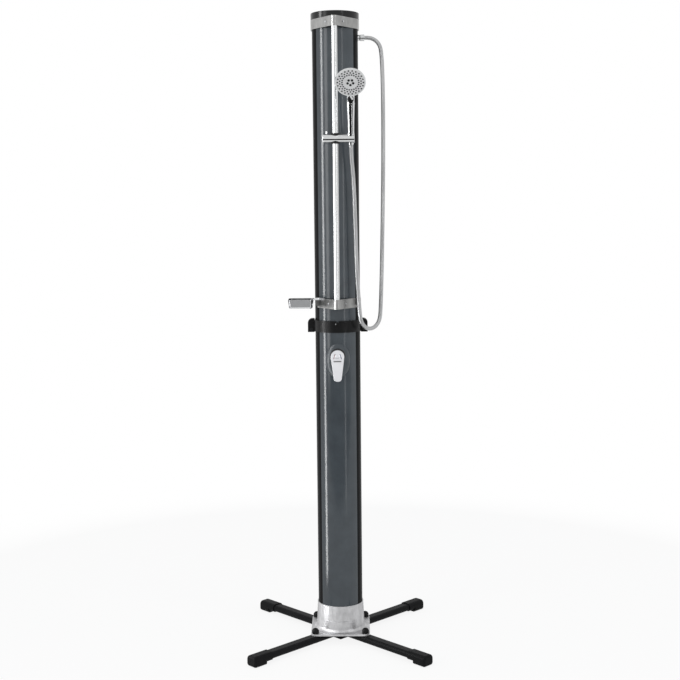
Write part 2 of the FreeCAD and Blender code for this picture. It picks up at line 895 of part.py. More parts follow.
# ---- rail and bands ----
def band_sheet_solid(z, inner):
    """The sheet taut round column and rail."""
    outer = teardrop(inner + band_sheet, nose_outer, rail_offset, z, band_height)
    return outer.cut(teardrop(inner, nose_inner, rail_offset, z, band_height))


def flank_normal(inner):
    """The outward direction of a band's right flank."""
    slope = (inner + band_sheet - nose_outer) / rail_offset
    return V(math.sqrt(1 - slope * slope), -slope, 0)


def flank_point(inner, x, z, depth=0.0):
    """A point on the right flank at x, that deep below its outer face."""
    normal = flank_normal(inner)
    along = V(-normal.y, normal.x, 0)
    start = V(0, -rail_offset, 0) + normal * nose_outer
    return start + along * ((x - start.x) / along.x) - normal * depth + V(0, 0, z)


def band_screw(z, inner, gap=0.0):
    """The right-hand screw through a band into its block."""
    normal = flank_normal(inner)
    outside = flank_point(inner, band_screw_side, z)
    head = rod(band_screw_head + gap, outside, outside + normal * 2)
    shank = rod(band_screw_radius + gap, outside, outside - normal * (band_screw_length + gap))
    return head.fuse(shank)


def band_screws(z, inner, gap=0.0):
    """Both screws of a band."""
    right = band_screw(z + band_height / 2, inner, gap)
    return Part.makeCompound([right, mirrored(right)])


def rail_block(z, inner):
    """The black block between column, band and rail."""
    fill = teardrop(inner - seat_gap, nose_inner - seat_gap, rail_offset, z, band_height)
    middle = box(-block_half_width, block_half_width, -rail_offset, 0, z, z + band_height)
    body = fill.common(middle)
    body = body.cut(rod(inner, V(0, 0, z), V(0, 0, z + band_height)))
    axis = V(0, -rail_offset, z)
    body = body.cut(rod(rail_radius + seat_gap, axis, axis + UP * band_height))
    return body.cut(band_screws(z, inner, thread_gap))


def band_upper():
    """The upper band, a closed hoop."""
    band = band_sheet_solid(upper_band_z, upper_band_inner)
    return band.cut(band_screws(upper_band_z, upper_band_inner, thread_gap))


def band_lower():
    """The lower band: it clasps the front only, and each end is bent out into a lug."""
    z = lower_band_z
    inner = lower_band_inner
    keep = front_sector(rail_offset * 2, 1, z, z + band_height, lower_band_half_angle)
    band = band_sheet_solid(z, inner).common(keep)
    low = z + (band_height - band_lug_height)
    for side, reach in ((1, band_lug_right), (-1, band_lug_left)):
        lug = box(inner, inner + band_sheet + reach, 0, band_sheet, low, low + band_lug_height)
        lug.rotate(ORIGIN, UP, lower_band_half_angle - 90)
        band = band.fuse(lug if side > 0 else mirrored(lug))
    return band.removeSplitter().cut(band_screws(z, inner, thread_gap))


def rail():
    """The chrome rail, held at both ends."""
    foot = V(0, -rail_offset, lower_band_z)
    head = V(0, -rail_offset, upper_band_z + band_height)
    return tube(rail_radius, rail_radius - rail_wall, foot, head)


def rail_plugs():
    """A plug in each end of the rail."""
    radius = rail_radius - rail_wall - seat_gap
    foot = V(0, -rail_offset, lower_band_z)
    head = V(0, -rail_offset, upper_band_z + band_height - rail_plug_depth)
    return Part.makeCompound([rod(radius, low, low + UP * rail_plug_depth) for low in (foot, head)])


# ---- slider and holder ----
def rail_point(height):
    """A point on the rail's axis, above or below the slider's own axis."""
    return V(0, -rail_offset, slider_z + height)


def slider_bush(sign):
    """Half of the plastic bush that slides on the rail, sign +1 above and -1 below."""
    bore = rail_radius + running_gap
    flange_start = slider_radius + free_gap
    near = rail_point(sign * seat_gap)
    far = rail_point(sign * (flange_start + bush_flange))
    sleeve = rod(bush_radius, near, far)
    flange = rod(bush_radius + bush_flange_width, rail_point(sign * flange_start), far)
    return sleeve.fuse(flange).removeSplitter().cut(rod(bore, near, far))


def slider_point(x, height=0.0):
    """A point on the slider's axis, or above it."""
    return V(x, -rail_offset, slider_z + height)


def slider_body():
    """The chrome cross bar that carries holder and button."""
    bar = rod(slider_radius, slider_point(-slider_left), slider_point(holder_seam - free_gap / 2))
    left_edge = [e for e in bar.Edges if e.CenterOfMass.x < -slider_left + 0.1 and e.Length > slider_radius]
    bar = bar.makeFillet(2.0, left_edge)
    bar = bar.cut(rod(slider_bore, rail_point(-2 * slider_radius), rail_point(2 * slider_radius)))
    pocket_start = holder_seam - spigot_length - free_gap
    bar = bar.cut(rod(spigot_radius + running_gap, slider_point(pocket_start), slider_point(holder_seam)))
    bar = bar.cut(rod(holder_screw_radius + thread_gap, slider_point(0), slider_point(holder_seam)))
    x = -button_side
    bar = bar.cut(rod(button_radius + running_gap, slider_point(x, -button_depth), slider_point(x, 20)))
    pawl_hole = rod(pawl_radius + running_gap, slider_point(x), slider_point(-rail_radius))
    return bar.cut(pawl_hole)


def lock_button():
    """The release button on the bar's top, with a ramp that draws the pawl back."""
    low = slider_point(-button_side, pawl_radius + button_travel + free_gap)
    high = slider_point(-button_side, slider_radius + button_proud)
    pin = rod(button_radius, low, high)
    top_edge = [e for e in pin.Edges if e.CenterOfMass.z > high.z - 0.1 and e.Length > button_radius]
    return pin.makeFillet(1.0, top_edge)


def lock_pawl():
    """The pin that presses on the bush and stops the slider."""
    start = slider_point(-button_side + button_radius - 1)
    return rod(pawl_radius, start, slider_point(-bush_radius - free_gap))


def leaned(shape):
    """A shape built upright on the hand shower's axis, moved to its seat and leaned forward."""
    shape = shape.copy()
    shape.translate(seat)
    shape.rotate(seat, RIGHT, handset_lean)
    return shape


def cone_radius(height):
    """The hand shower nut's radius at a height on its own axis."""
    share = (height - cone_bottom) / (cone_top - cone_bottom)
    return cone_bottom_radius + share * (cone_top_radius - cone_bottom_radius)


def holder():
    """The part of the bar that takes the hand shower: it tilts, and its seat is open to the right."""
    bar = rod(slider_radius, slider_point(holder_seam + free_gap / 2), slider_point(holder_right))
    right_edge = [e for e in bar.Edges if e.CenterOfMass.x > holder_right - 0.1 and e.Length > slider_radius]
    bar = bar.makeFillet(1.5, right_edge)
    bar = bar.fuse(rod(spigot_radius, slider_point(holder_seam - spigot_length), slider_point(holder_seam + 1)))
    high = 1.5 * slider_radius
    bore = taper(
        cone_radius(-high) + cone_gap, cone_radius(high) + cone_gap, V(0, 0, -high), V(0, 0, high)
    )
    half = slot_width / 2
    slot = box(0, 2 * slider_radius, -half, half, -high, high)
    bar = bar.cut(leaned(bore)).cut(leaned(slot))
    left = handset_side - cone_top_radius - 2 - holder_screw_head_height
    bar = bar.cut(rod(holder_screw_radius + free_gap, slider_point(0), slider_point(left)))
    return bar.cut(rod(holder_screw_head + free_gap, slider_point(left), slider_point(handset_side)))


def holder_screw():
    """The screw on which the holder tilts."""
    left = handset_side - cone_top_radius - 2 - holder_screw_head_height
    shank = rod(holder_screw_radius, slider_point(slider_bore + 0.5), slider_point(left + free_gap))
    head = rod(
        holder_screw_head, slider_point(left + free_gap), slider_point(left + holder_screw_head_height)
    )
    return shank.fuse(head)


# ---- hand shower ----
def cone_nut():
    """The conical nut between hose and handle, which drops into the holder."""
    nut = taper(cone_bottom_radius, cone_top_radius, V(0, 0, cone_bottom), V(0, 0, cone_top))
    nut = nut.cut(rod(outlet_bore, V(0, 0, cone_bottom), V(0, 0, 0)))
    nut = nut.cut(rod(spigot_thread_radius + seat_gap, V(0, 0, 0), V(0, 0, cone_top)))
    return leaned(nut)


def cone_seal():
    """The rubber washer between hose and handle."""
    low = V(0, 0, 0)
    high = V(0, 0, spigot_thread_start - seat_gap)
    return leaned(tube(spigot_thread_radius, outlet_bore, low, high))


def in_face(shape):
    """A shape built facing -Y round the head's middle, tilted and moved into place."""
    shape = shape.copy()
    shape.rotate(ORIGIN, RIGHT, face_tilt)
    shape.translate(V(0, -face_forward, face_height))
    return leaned(shape)


def face_rod(radius, front, back):
    """A disc in the head, between two depths counted towards the back."""
    return rod(radius, V(0, front, 0), V(0, back, 0))


def dome(shrink=0.0):
    """The round back of the head, or its hollow."""
    sphere_radius = (head_radius**2 + head_depth**2) / (2 * head_depth)
    centre = V(0, head_depth - sphere_radius, 0)
    ball = Part.makeSphere(sphere_radius - shrink, centre, UP, -90, 90, 360)
    reach = 2 * head_radius
    return ball.common(box(-reach, reach, 0, reach, -reach, reach))


def handle_solid(top):
    """The handle, turned about its own axis up to the neck ring."""
    side = Part.Arc(
        V(handle_foot_radius, 0, cone_top + seat_gap),
        V(handle_waist_radius, 0, (cone_top + handle_top) / 2),
        V(handle_top_radius, 0, handle_top),
    ).toShape()
    neck_start = handle_top + neck_ring_height
    groove = handle_top_radius - neck_ring_depth
    outline = [
        Part.LineSegment(
            V(0, 0, cone_top + seat_gap), V(handle_foot_radius, 0, cone_top + seat_gap)
        ).toShape(),
        side,
        Part.LineSegment(V(handle_top_radius, 0, handle_top), V(groove, 0, handle_top)).toShape(),
        Part.LineSegment(V(groove, 0, handle_top), V(groove, 0, neck_start)).toShape(),
        Part.LineSegment(V(groove, 0, neck_start), V(neck_radius, 0, neck_start)).toShape(),
        Part.LineSegment(V(neck_radius, 0, neck_start), V(neck_radius, 0, top)).toShape(),
        Part.LineSegment(V(neck_radius, 0, top), V(0, 0, top)).toShape(),
        Part.LineSegment(V(0, 0, top), V(0, 0, cone_top + seat_gap)).toShape(),
    ]
    return Part.Face(Part.Wire(outline)).revolve(ORIGIN, UP, 360)


def neck_solid():
    """The neck, from the handle into the back of the head."""
    bend = V(0, 0, neck_bend)
    end = V(0, -neck_end_forward, neck_end_height)
    body = taper(neck_radius, neck_end_radius, bend, end)
    return body.fuse(Part.makeSphere(neck_knuckle_radius, bend)).fuse(Part.makeSphere(neck_end_radius, end))


def inlay_cutter(gap=0.0):
    """An oval prism through the neck's front."""
    oval = Part.Ellipse(V(0, 0, 0), inlay_half_height + gap, inlay_half_width + gap)
    face = Part.Face(Part.Wire(oval.toShape()))
    face.rotate(ORIGIN, UP, 90)
    prism = face.extrude(UP * (2 * neck_radius))
    return facing_front(prism, V(0, gap - inlay_back, inlay_height))


def neck_inlay():
    """The black oval set in the neck's front."""
    return leaned(handle_solid(neck_bend).fuse(neck_solid()).common(inlay_cutter()))


def handset_body():
    """Handle, neck and the head's round back, moulded in one."""
    grip = handle_solid(neck_bend).fuse(neck_solid())
    grip = grip.fuse(rod(spigot_thread_radius, V(0, 0, spigot_thread_start), V(0, 0, cone_top + 1)))
    front = -(head_rim - selector_depth)
    body = leaned(grip).fuse(in_face(dome())).fuse(in_face(face_rod(head_radius, front, 0)))
    body = body.cut(in_face(face_rod(head_radius + 2, -2 * head_radius, front)))
    rim_bore = head_radius - head_wall
    hollow = dome(head_wall).common(face_rod(rim_bore, 0, head_depth))
    body = body.cut(in_face(hollow)).cut(in_face(face_rod(rim_bore, front, 0)))
    channel = rod(waterway_radius, V(0, 0, spigot_thread_start), V(0, 0, neck_bend))
    upper = rod(waterway_radius, V(0, 0, neck_bend), V(0, -neck_end_forward, neck_end_height))
    channel = channel.fuse(upper).fuse(Part.makeSphere(waterway_radius, V(0, 0, neck_bend)))
    return body.cut(leaned(channel)).cut(leaned(inlay_cutter(thread_gap)))


def neck_ring():
    """The bright ring round the handle's top."""
    low = V(0, 0, handle_top)
    high = V(0, 0, handle_top + neck_ring_height - seat_gap)
    inner = handle_top_radius - neck_ring_depth + seat_gap
    return leaned(tube(handle_top_radius + neck_ring_proud, inner, low + UP * seat_gap, high))


def selector_ring():
    """The turning rim of the head, with the tab that the thumb pushes."""
    outer = head_radius
    inner = head_radius - selector_width
    back = -(head_rim - selector_depth) - free_gap
    rim = face_rod(outer, -head_rim, back).cut(face_rod(inner, -head_rim, back))
    half = selector_tab_width / 2
    front = -head_rim - selector_tab_proud
    end = -outer - selector_tab_length
    tab = box(-half, half, front, front + selector_tab_thickness, end, -inner - 1)
    tab.rotate(V(0, 0, -outer), FRONT, selector_tab_turn)
    return in_face(rim.fuse(tab).removeSplitter())


def nozzle_places():
    """Where the nozzles stand: spiral arms outside, and a few large jets in the middle."""
    places = []
    for k, share in enumerate(nozzle_shares):
        radius = share * head_radius
        for arm in range(nozzle_arms):
            angle = math.radians(360 * arm / nozzle_arms + nozzle_twist * k)
            places.append((radius * math.cos(angle), radius * math.sin(angle), nozzle_radius))
    jet_ring = jet_share * head_radius
    for k in range(jet_count):
        angle = math.radians(90 + 360 * (k + 0.5) / jet_count)
        places.append((jet_ring * math.cos(angle), jet_ring * math.sin(angle), jet_radius))
    return places


def nozzle_rods(front, back, gap=0.0):
    """All nozzles between two depths."""
    return Part.makeCompound(
        [rod(r + gap, V(x, front, z), V(x, back, z)) for x, z, r in nozzle_places()]
    )


def plate_depths():
    """Front and back of the spray plate."""
    front = -head_rim + 0.5
    return front, front + spray_plate_thickness


def spray_plate():
    """The plate that the nozzles show through."""
    front, back = plate_depths()
    disc = face_rod(head_radius - selector_width - free_gap, front, back)
    return in_face(disc.cut(nozzle_rods(front - 1, back + 1, thread_gap)))


def nozzle_mat():
    """The rubber mat with all its nozzles, behind the plate."""
    front, back = plate_depths()
    disc = face_rod(diverter_radius + 2, back + seat_gap, back + seat_gap + mat_thickness)
    studs = nozzle_rods(front - nozzle_proud, back + seat_gap + mat_thickness)
    return in_face(disc.fuse(studs.Solids).removeSplitter())


def spray_diverter():
    """The disc that shares the water out, carried by its hub at the head's back."""
    _, back = plate_depths()
    near = back + seat_gap + mat_thickness + seat_gap
    disc = face_rod(diverter_radius, near, near + diverter_thickness)
    disc = disc.fuse(face_rod(diverter_hub, near, head_depth - head_wall - seat_gap))
    return in_face(disc.common(dome(head_wall + seat_gap).fuse(face_rod(diverter_radius, near, 0))))


# ---- side outlet ----
def outlet_point(x):
    """A point on the outlet's axis."""
    return V(x, 0, outlet_z)


def outlet_pipe():
    """The pipe through the wall, with a flange that sits on the column."""
    inside = tank_bore - outlet_inside
    flange_end = outlet_point(column_radius + outlet_flange)
    neck = outlet_pipe_radius - outlet_neck_step
    end = flange_end + RIGHT * (outlet_gasket + 4)
    body = rod(outlet_flange_radius, outlet_point(inside), flange_end)
    body = body.cut(rod(column_radius + seat_gap, V(0, 0, outlet_z - 30), V(0, 0, outlet_z + 30)))
    body = body.fuse(rod(outlet_pipe_radius, outlet_point(inside), flange_end))
    body = body.fuse(rod(neck, flange_end, end))
    return body.removeSplitter().cut(rod(outlet_bore, outlet_point(inside), end))


def hose_gasket():
    """The black ring between flange and hose nut."""
    start = outlet_point(column_radius + outlet_flange)
    hole = outlet_pipe_radius - outlet_neck_step + seat_gap
    return tube(outlet_gasket_radius, hole, start, start + RIGHT * outlet_gasket)


def hose_nut_start():
    """Where the hose nut begins."""
    return column_radius + outlet_flange + outlet_gasket


def hose_nut():
    """The fluted nut of the hose at the column."""
    start = outlet_point(hose_nut_start())
    end = outlet_point(hose_nut_start() + hose_nut_length)
    nut = rod(hose_nut_radius, start, end)
    for k in range(hose_nut_flutes):
        angle = 2 * math.pi * k / hose_nut_flutes
        off = V(0, math.cos(angle), math.sin(angle)) * (hose_nut_radius + hose_nut_flute / 2)
        nut = nut.cut(rod(hose_nut_flute * 1.5, start + off, end - RIGHT * 2 + off))
    nut = nut.cut(rod(outlet_pipe_radius - outlet_neck_step + seat_gap, start, start + RIGHT * 5))
    return nut.cut(rod(outlet_bore, start, end))


# ---- hose ----
def hose_points():
    """The whole route, square to the fittings at both ends."""
    start = outlet_point(hose_nut_start() + hose_nut_length)
    lean = math.radians(handset_lean)
    down = V(0, math.sin(lean), -math.cos(lean))
    end = seat + down * -cone_bottom
    loop_z = column_joint_z + hose_loop_rise
    fall = [start + V(out, -ahead, -share * (outlet_z - loop_z)) for out, ahead, share in hose_fall]
    rise = [
        V(seat.x + side, seat.y + behind, loop_z + share * (end.z - loop_z))
        for side, behind, share in hose_rise
    ]
    across = rise[0] - fall[-1]
    loop = [fall[-1] + across * share - UP * hose_loop_depth * deep for share, deep in hose_loop]
    return [start] + fall + loop + rise + [end + down * hose_end_run, end]


def shower_hose():
    """The hose's free stretch, a plain round bar."""
    points = hose_points()
    wire, length, radii = route(points)
    body = swept(hose_radius, wire, points[0], points[1] - points[0])
    print("hose length %.0f, radii %s" % (length, [round(r) for r in radii]))
    print("hose runs", [round((b - a).Length) for a, b in zip(points, points[1:])])
    print("hose volume over section x length: %.5f" % (body.Volume / (math.pi * hose_radius**2 * length)))
    return body


# ---- mixer ----
def at_pivot(shape):
    """A shape turned about +Z, laid along -Y with its origin at the lever's pivot."""
    return facing_front(shape, pivot)


def skin_point(reach):
    """A point on the mixer's axis, that far in front of the column's skin."""
    return V(0, -column_radius - reach, mixer_z)


def mixer_body():
    """The brass valve inside the column, with its nose through the wall."""
    back = skin_point(-mixer_body_back)
    shoulder = skin_point(-mixer_body_front)
    tip = skin_point(nose_reach)
    body = rod(mixer_body_radius, back, shoulder).fuse(rod(nose_radius, shoulder, tip))
    for x, side in sockets():
        body = body.fuse(rod(socket_radius, socket_point(x, 0), socket_point(x, side * socket_reach())))
    body = body.removeSplitter().cut(rod(cartridge_radius + seat_gap, skin_point(-cartridge_back), tip))
    for x, side in sockets():
        end = side * socket_reach()
        seat_start = end - side * socket_depth
        body = body.cut(rod(pipe_radius + seat_gap, socket_point(x, seat_start), socket_point(x, end)))
        body = body.cut(rod(pipe_radius - pipe_wall, socket_point(x, 0), socket_point(x, end)))
    return body


def sockets():
    """The valve's three pipe sockets: side of the middle, and +1 above or -1 below."""
    return ((0, -1), (socket_side, 1), (-socket_side, 1))


def socket_reach():
    """How far a socket's mouth stands from the valve's axis."""
    return mixer_body_radius + socket_length / 2


def socket_point(x, height):
    """A point on a socket's axis."""
    middle = (mixer_body_back + mixer_body_front) / 2
    return V(x, -column_radius + middle, mixer_z + height)


def mixer_cartridge():
    """The valve's cartridge, with a well for the spindle."""
    back = skin_point(-cartridge_back + seat_gap)
    front = skin_point(-cartridge_front)
    well = skin_point(-cartridge_front - spindle_depth)
    return rod(cartridge_radius, back, front).cut(rod(spindle_radius + running_gap, well, front))


def bonnet():
    """The round sleeve under the lever's hub, screwed into the nose over the cartridge."""
    ball_radius = hub_radius - hub_wall - bonnet_gap
    ball = Part.makeSphere(ball_radius)
    reach = 2 * hub_radius
    ball = ball.common(box(-reach, reach, -reach, reach, -bonnet_back, bonnet_front))
    neck_end = -pivot_reach - cartridge_front + seat_gap
    whole = ball.fuse(rod(cartridge_radius, V(0, 0, neck_end), V(0, 0, -bonnet_back + 1)))
    whole = whole.removeSplitter()
    whole = whole.cut(rod(spindle_radius + free_gap, V(0, 0, neck_end), V(0, 0, 0)))
    whole = whole.cut(rod(bonnet_bore, V(0, 0, -bonnet_back + bonnet_floor), V(0, 0, bonnet_front)))
    return at_pivot(whole)


def spindle():
    """The turning spindle, forked at its front to hold the lever's stem."""
    disc_back = -bonnet_back + bonnet_floor + free_gap
    disc_front = disc_back + fork_disc
    back = -pivot_reach - cartridge_front - spindle_depth + free_gap
    body = rod(spindle_radius, V(0, 0, back), V(0, 0, disc_back))
    body = body.fuse(rod(fork_disc_radius, V(0, 0, disc_back), V(0, 0, disc_front)))
    inner = stem_half_width + free_gap
    outer = inner + fork_cheek
    for side in (-1, 1):
        low, high = sorted((side * inner, side * outer))
        body = body.fuse(box(low, high, -stem_boss_radius, stem_boss_radius, disc_back, fork_front))
    hole = rod(pivot_pin_radius + thread_gap, V(-outer, 0, 0), V(outer, 0, 0))
    return at_pivot(body.removeSplitter().cut(hole))


def pivot_pin():
    """The pin that the lever lifts on."""
    reach = stem_half_width + free_gap + fork_cheek
    return at_pivot(rod(pivot_pin_radius, V(-reach, 0, 0), V(reach, 0, 0)))


def lever_stem():
    """The square stem inside the lever, round where the pin passes."""
    half = stem_half_width
    boss = rod(stem_boss_radius, V(-half, 0, 0), V(half, 0, 0))
    shank = box(-half, half, -half, half, 0, stem_length)
    hole = rod(pivot_pin_radius + running_gap, V(-half, 0, 0), V(half, 0, 0))
    return boss.fuse(shank).removeSplitter().cut(hole)


def lever_blade():
    """The lever's handle: a tapering blade that hangs from the hub and leans out."""
    end = lever_end_radius
    half = lever_end_half_width
    top = hub_radius
    bottom = -lever_length
    bend = end * (1 - math.sqrt(0.5))
    right = [
        V(half, bottom + end, 0),
        V(half - bend, bottom + bend, 0),
        V(half - end, bottom, 0),
    ]
    left = [V(-p.x, p.y, 0) for p in right]
    outline = Part.Wire(
        [
            Part.Arc(V(-top, 0, 0), V(0, top, 0), V(top, 0, 0)).toShape(),
            Part.LineSegment(V(top, 0, 0), right[0]).toShape(),
            Part.Arc(right[0], right[1], right[2]).toShape(),
            Part.LineSegment(right[2], left[2]).toShape(),
            Part.Arc(left[2], left[1], left[0]).toShape(),
            Part.LineSegment(left[0], V(-top, 0, 0)).toShape(),
        ]
    )
    blade = Part.Face(outline).extrude(UP * lever_thickness)
    blade.translate(UP * (lever_front - lever_thickness))
    front_edges = [e for e in blade.Edges if abs(e.CenterOfMass.z - lever_front) < 0.1]
    blade = blade.makeFillet(lever_edge, front_edges)
    blade.rotate(ORIGIN, RIGHT, -lever_flare)
    return blade


def lever_mark(side, gap):
    """One thin slanted mark, round at both ends, on the lever's front."""
    depth = UP * (mark_depth + gap + mark_proud)
    back = lever_front - mark_depth - gap
    ends = [V(side * x, y, back) for x, y in (mark_top, mark_foot)]
    across = (ends[0] - ends[1]).cross(UP)
    across.normalize()
    across = across * (mark_radius + gap)
    corners = [ends[0] + across, ends[1] + across, ends[1] - across, ends[0] - across]
    mark = Part.Face(Part.makePolygon(corners + corners[:1])).extrude(depth)
    for end in ends:
        mark = mark.fuse(rod(mark_radius + gap, end, end + depth))
    mark = mark.removeSplitter()
    mark.rotate(ORIGIN, RIGHT, -lever_flare)
    return at_pivot(mark)


def lever_marks(gap=0.0):
    """The two marks for warm and cold, left and right on the hub."""
    return Part.makeCompound([lever_mark(side, gap) for side in (-1, 1)])


def mixer_lever():
    """The chrome lever: a round hub with a blade, hollow over the bonnet, and its stem inside."""
    reach = 2 * hub_radius
    ball = Part.makeSphere(hub_radius).common(box(-reach, reach, -reach, reach, -hub_back, reach))
    boss = rod(lever_boss_radius, V(0, 0, lever_boss_back), V(0, 0, hub_radius - 1))
    boss = boss.common(Part.makeSphere(hub_radius - 1))
    whole = ball.fuse(lever_blade()).cut(Part.makeSphere(hub_radius - hub_wall))
    whole = whole.fuse(boss).fuse(lever_stem())
    return at_pivot(whole).cut(lever_marks(thread_gap))


def escutcheon():
    """The grey oval bulge that the mixer stands on, moulded to the column."""
    whole = bulge(0).cut(bulge(bulge_wall))
    whole = whole.cut(rod(column_radius + seat_gap / 2, V(0, 0, bulge_z - 90), V(0, 0, bulge_z + 90)))
    hole = rod(cartridge_radius + free_gap, skin_point(0), skin_point(30))
    whole = whole.cut(hole)
    front = [s for s in whole.Solids if s.CenterOfMass.y < 0]
    return max(front, key=lambda s: s.Volume)


def bulge(shrink):
    """The egg shape that the bulge is cut from."""
    matrix = FreeCAD.Matrix()
    matrix.scale(bulge_half_width - shrink, bulge_depth - shrink, bulge_half_height - shrink)
    egg = Part.makeSphere(1).transformGeometry(matrix)
    egg.translate(V(0, -column_radius + bulge_sunk, bulge_z))
    return egg


# ---- pipes inside ----
def cold_pipe():
    """From the inlet's tee up to the valve."""
    top = socket_point(0, -socket_reach() + socket_depth - seat_gap)
    low = V(0, tee_depth, inlet_z + tee_half_height - 6 + seat_gap)
    points = [low, V(0, tee_depth, top.z - 150), V(0, top.y, top.z - 60), top]
    return pipe(points, pipe_radius, pipe_wall, 24)


def hot_pipe():
    """From the valve up to the warmest water, under the lid."""
    low = socket_point(socket_side, socket_reach() - socket_depth + seat_gap)
    high = V(low.x, low.y, column_top_z - cap_height - 40)
    return tube(pipe_radius, pipe_radius - pipe_wall, low, high)


def mixed_pipe():
    """From the valve up to the side outlet."""
    low = socket_point(-socket_side, socket_reach() - socket_depth + seat_gap)
    end = outlet_point(tank_bore - outlet_inside)
    points = [low, V(low.x, low.y, outlet_z - 62), V(tank_bore - outlet_inside - 34, 0, outlet_z), end]
    return pipe(points, pipe_radius, pipe_wall, 18)


# ---- inlet ----
def inlet_point(y):
    """A point on the inlet's axis."""
    return V(0, y, inlet_z)


def inlet_tee():
    """The brass tee inside: water goes up to the mixer and down into the tank."""
    low = V(0, tee_depth, inlet_z - tee_half_height)
    high = V(0, tee_depth, inlet_z + tee_half_height)
    end = inlet_point(tank_bore - tee_inset)
    body = rod(tee_radius, low, high).fuse(rod(tee_radius, inlet_point(tee_depth), end))
    body = body.removeSplitter()
    body = body.cut(rod(pipe_radius - pipe_wall, low, high))
    body = body.cut(rod(pipe_radius + seat_gap, high - UP * 6, high))
    body = body.cut(rod(inlet_bore, inlet_point(tee_depth), end))
    return body.cut(rod(inlet_pipe_radius + seat_gap, end + FRONT * tee_socket, end))


def inlet_connector():
    """The pipe through the back wall, ending in the nipple that a garden hose is pushed onto."""
    start = tank_bore - tee_inset - tee_socket + seat_gap
    root = column_radius + seat_gap
    shoulder = root + connector_body
    land_end = shoulder + nipple_land
    tip = land_end + nipple_barbs * nipple_barb
    profile = [
        (inlet_bore, start),
        (inlet_pipe_radius, start),
        (inlet_pipe_radius, root),
        (connector_flange_radius, root),
        (connector_flange_radius, root + connector_flange),
        (connector_radius, root + connector_flange),
        (connector_radius, shoulder),
        (nipple_radius, shoulder),
        (nipple_radius, land_end),
    ]
    for k in range(1, nipple_barbs):
        profile += [(nipple_groove, land_end + k * nipple_barb), (nipple_radius, land_end + k * nipple_barb)]
    body = lathe(profile + [(nipple_tip, tip), (inlet_bore, tip)])
    body.rotate(ORIGIN, RIGHT, -90)
    body.translate(V(0, 0, inlet_z))
    return body


# ---- soap dish ----
def dish_outline(inset, corner, z):
    """The dish's plan at one height, drawn in by inset."""
    half_x = (dish_left - dish_right) / 2 - inset
    half_y = (dish_front - dish_back) / 2 - inset
    wire = rounded_outline(half_x, half_y, corner, z)
    wire.translate(V(-(dish_left + dish_right) / 2, -(dish_front + dish_back) / 2, 0))
    return wire


def dish_shape(wall, low, high):
    """The dish's outside, or its hollow when a wall is given, with a round lower edge."""
    inset = dish_taper + wall
    foot = dish_outline(inset, dish_foot_corner - wall, low)
    whole = Part.makeLoft([foot, dish_outline(wall, dish_corner - wall, high)], True, True)
    low_edges = [e for e in whole.Edges if e.CenterOfMass.z < low + 0.1]
    return whole.makeFillet(dish_foot_edge - wall, low_edges)


def soap_dish():
    """The open tray, a little narrower at its foot, with drain slots and its hook."""
    high = lower_band_z + band_height - 1
    low = high - dish_height
    floor = low + dish_wall
    tray = dish_shape(0, low, high).cut(dish_shape(dish_wall, floor, high))
    middle_x = -(dish_left + dish_right) / 2
    middle_y = -(dish_front + dish_back) / 2
    reach = dish_slot_length / 2
    for k in range(dish_slots):
        x = middle_x + (k - (dish_slots - 1) / 2) * dish_slot_width * 3
        half = dish_slot_width / 2
        tray = tray.cut(box(x - half, x + half, middle_y - reach, middle_y + reach, low - 1, floor + 1))
    return tray.fuse(dish_hook()).removeSplitter()


def flank_sheet(near_x, far_x, depth, thickness, z0, z1):
    """A flat sheet parallel to the band's left flank, between two distances from the rail."""
    places = ((near_x, depth), (far_x, depth), (far_x, depth + thickness), (near_x, depth + thickness))
    corners = [flank_point(lower_band_inner, x, 0, deep) for x, deep in places]
    face = Part.Face(Part.makePolygon(corners + corners[:1]))
    sheet = face.extrude(V(0, 0, z1 - z0))
    sheet.translate(V(0, 0, z0))
    return mirrored(sheet)


def dish_hook():
    """The dish's hook: a strip before the band's left flank, over its top and down behind it."""
    top = lower_band_z + band_height
    low = top - hook_front_drop
    high = top + free_gap + hook_sheet
    out = -free_gap - hook_sheet
    front = flank_sheet(hook_right, hook_left, out, hook_sheet, low, high)
    over_depth = 2 * free_gap + 2 * hook_sheet + band_sheet
    over = flank_sheet(hook_right, hook_lip_left, out, over_depth, top + free_gap, high)
    inside = band_sheet + free_gap
    behind = flank_sheet(hook_right, hook_lip_left, inside, hook_sheet, top - hook_lip, high)
    far = flank_point(lower_band_inner, hook_left, 0, out)
    arm = box(-dish_right - dish_wall, -far.x + 1, far.y, far.y + hook_sheet, low, high)
    return front.fuse(over).fuse(behind).fuse(arm)


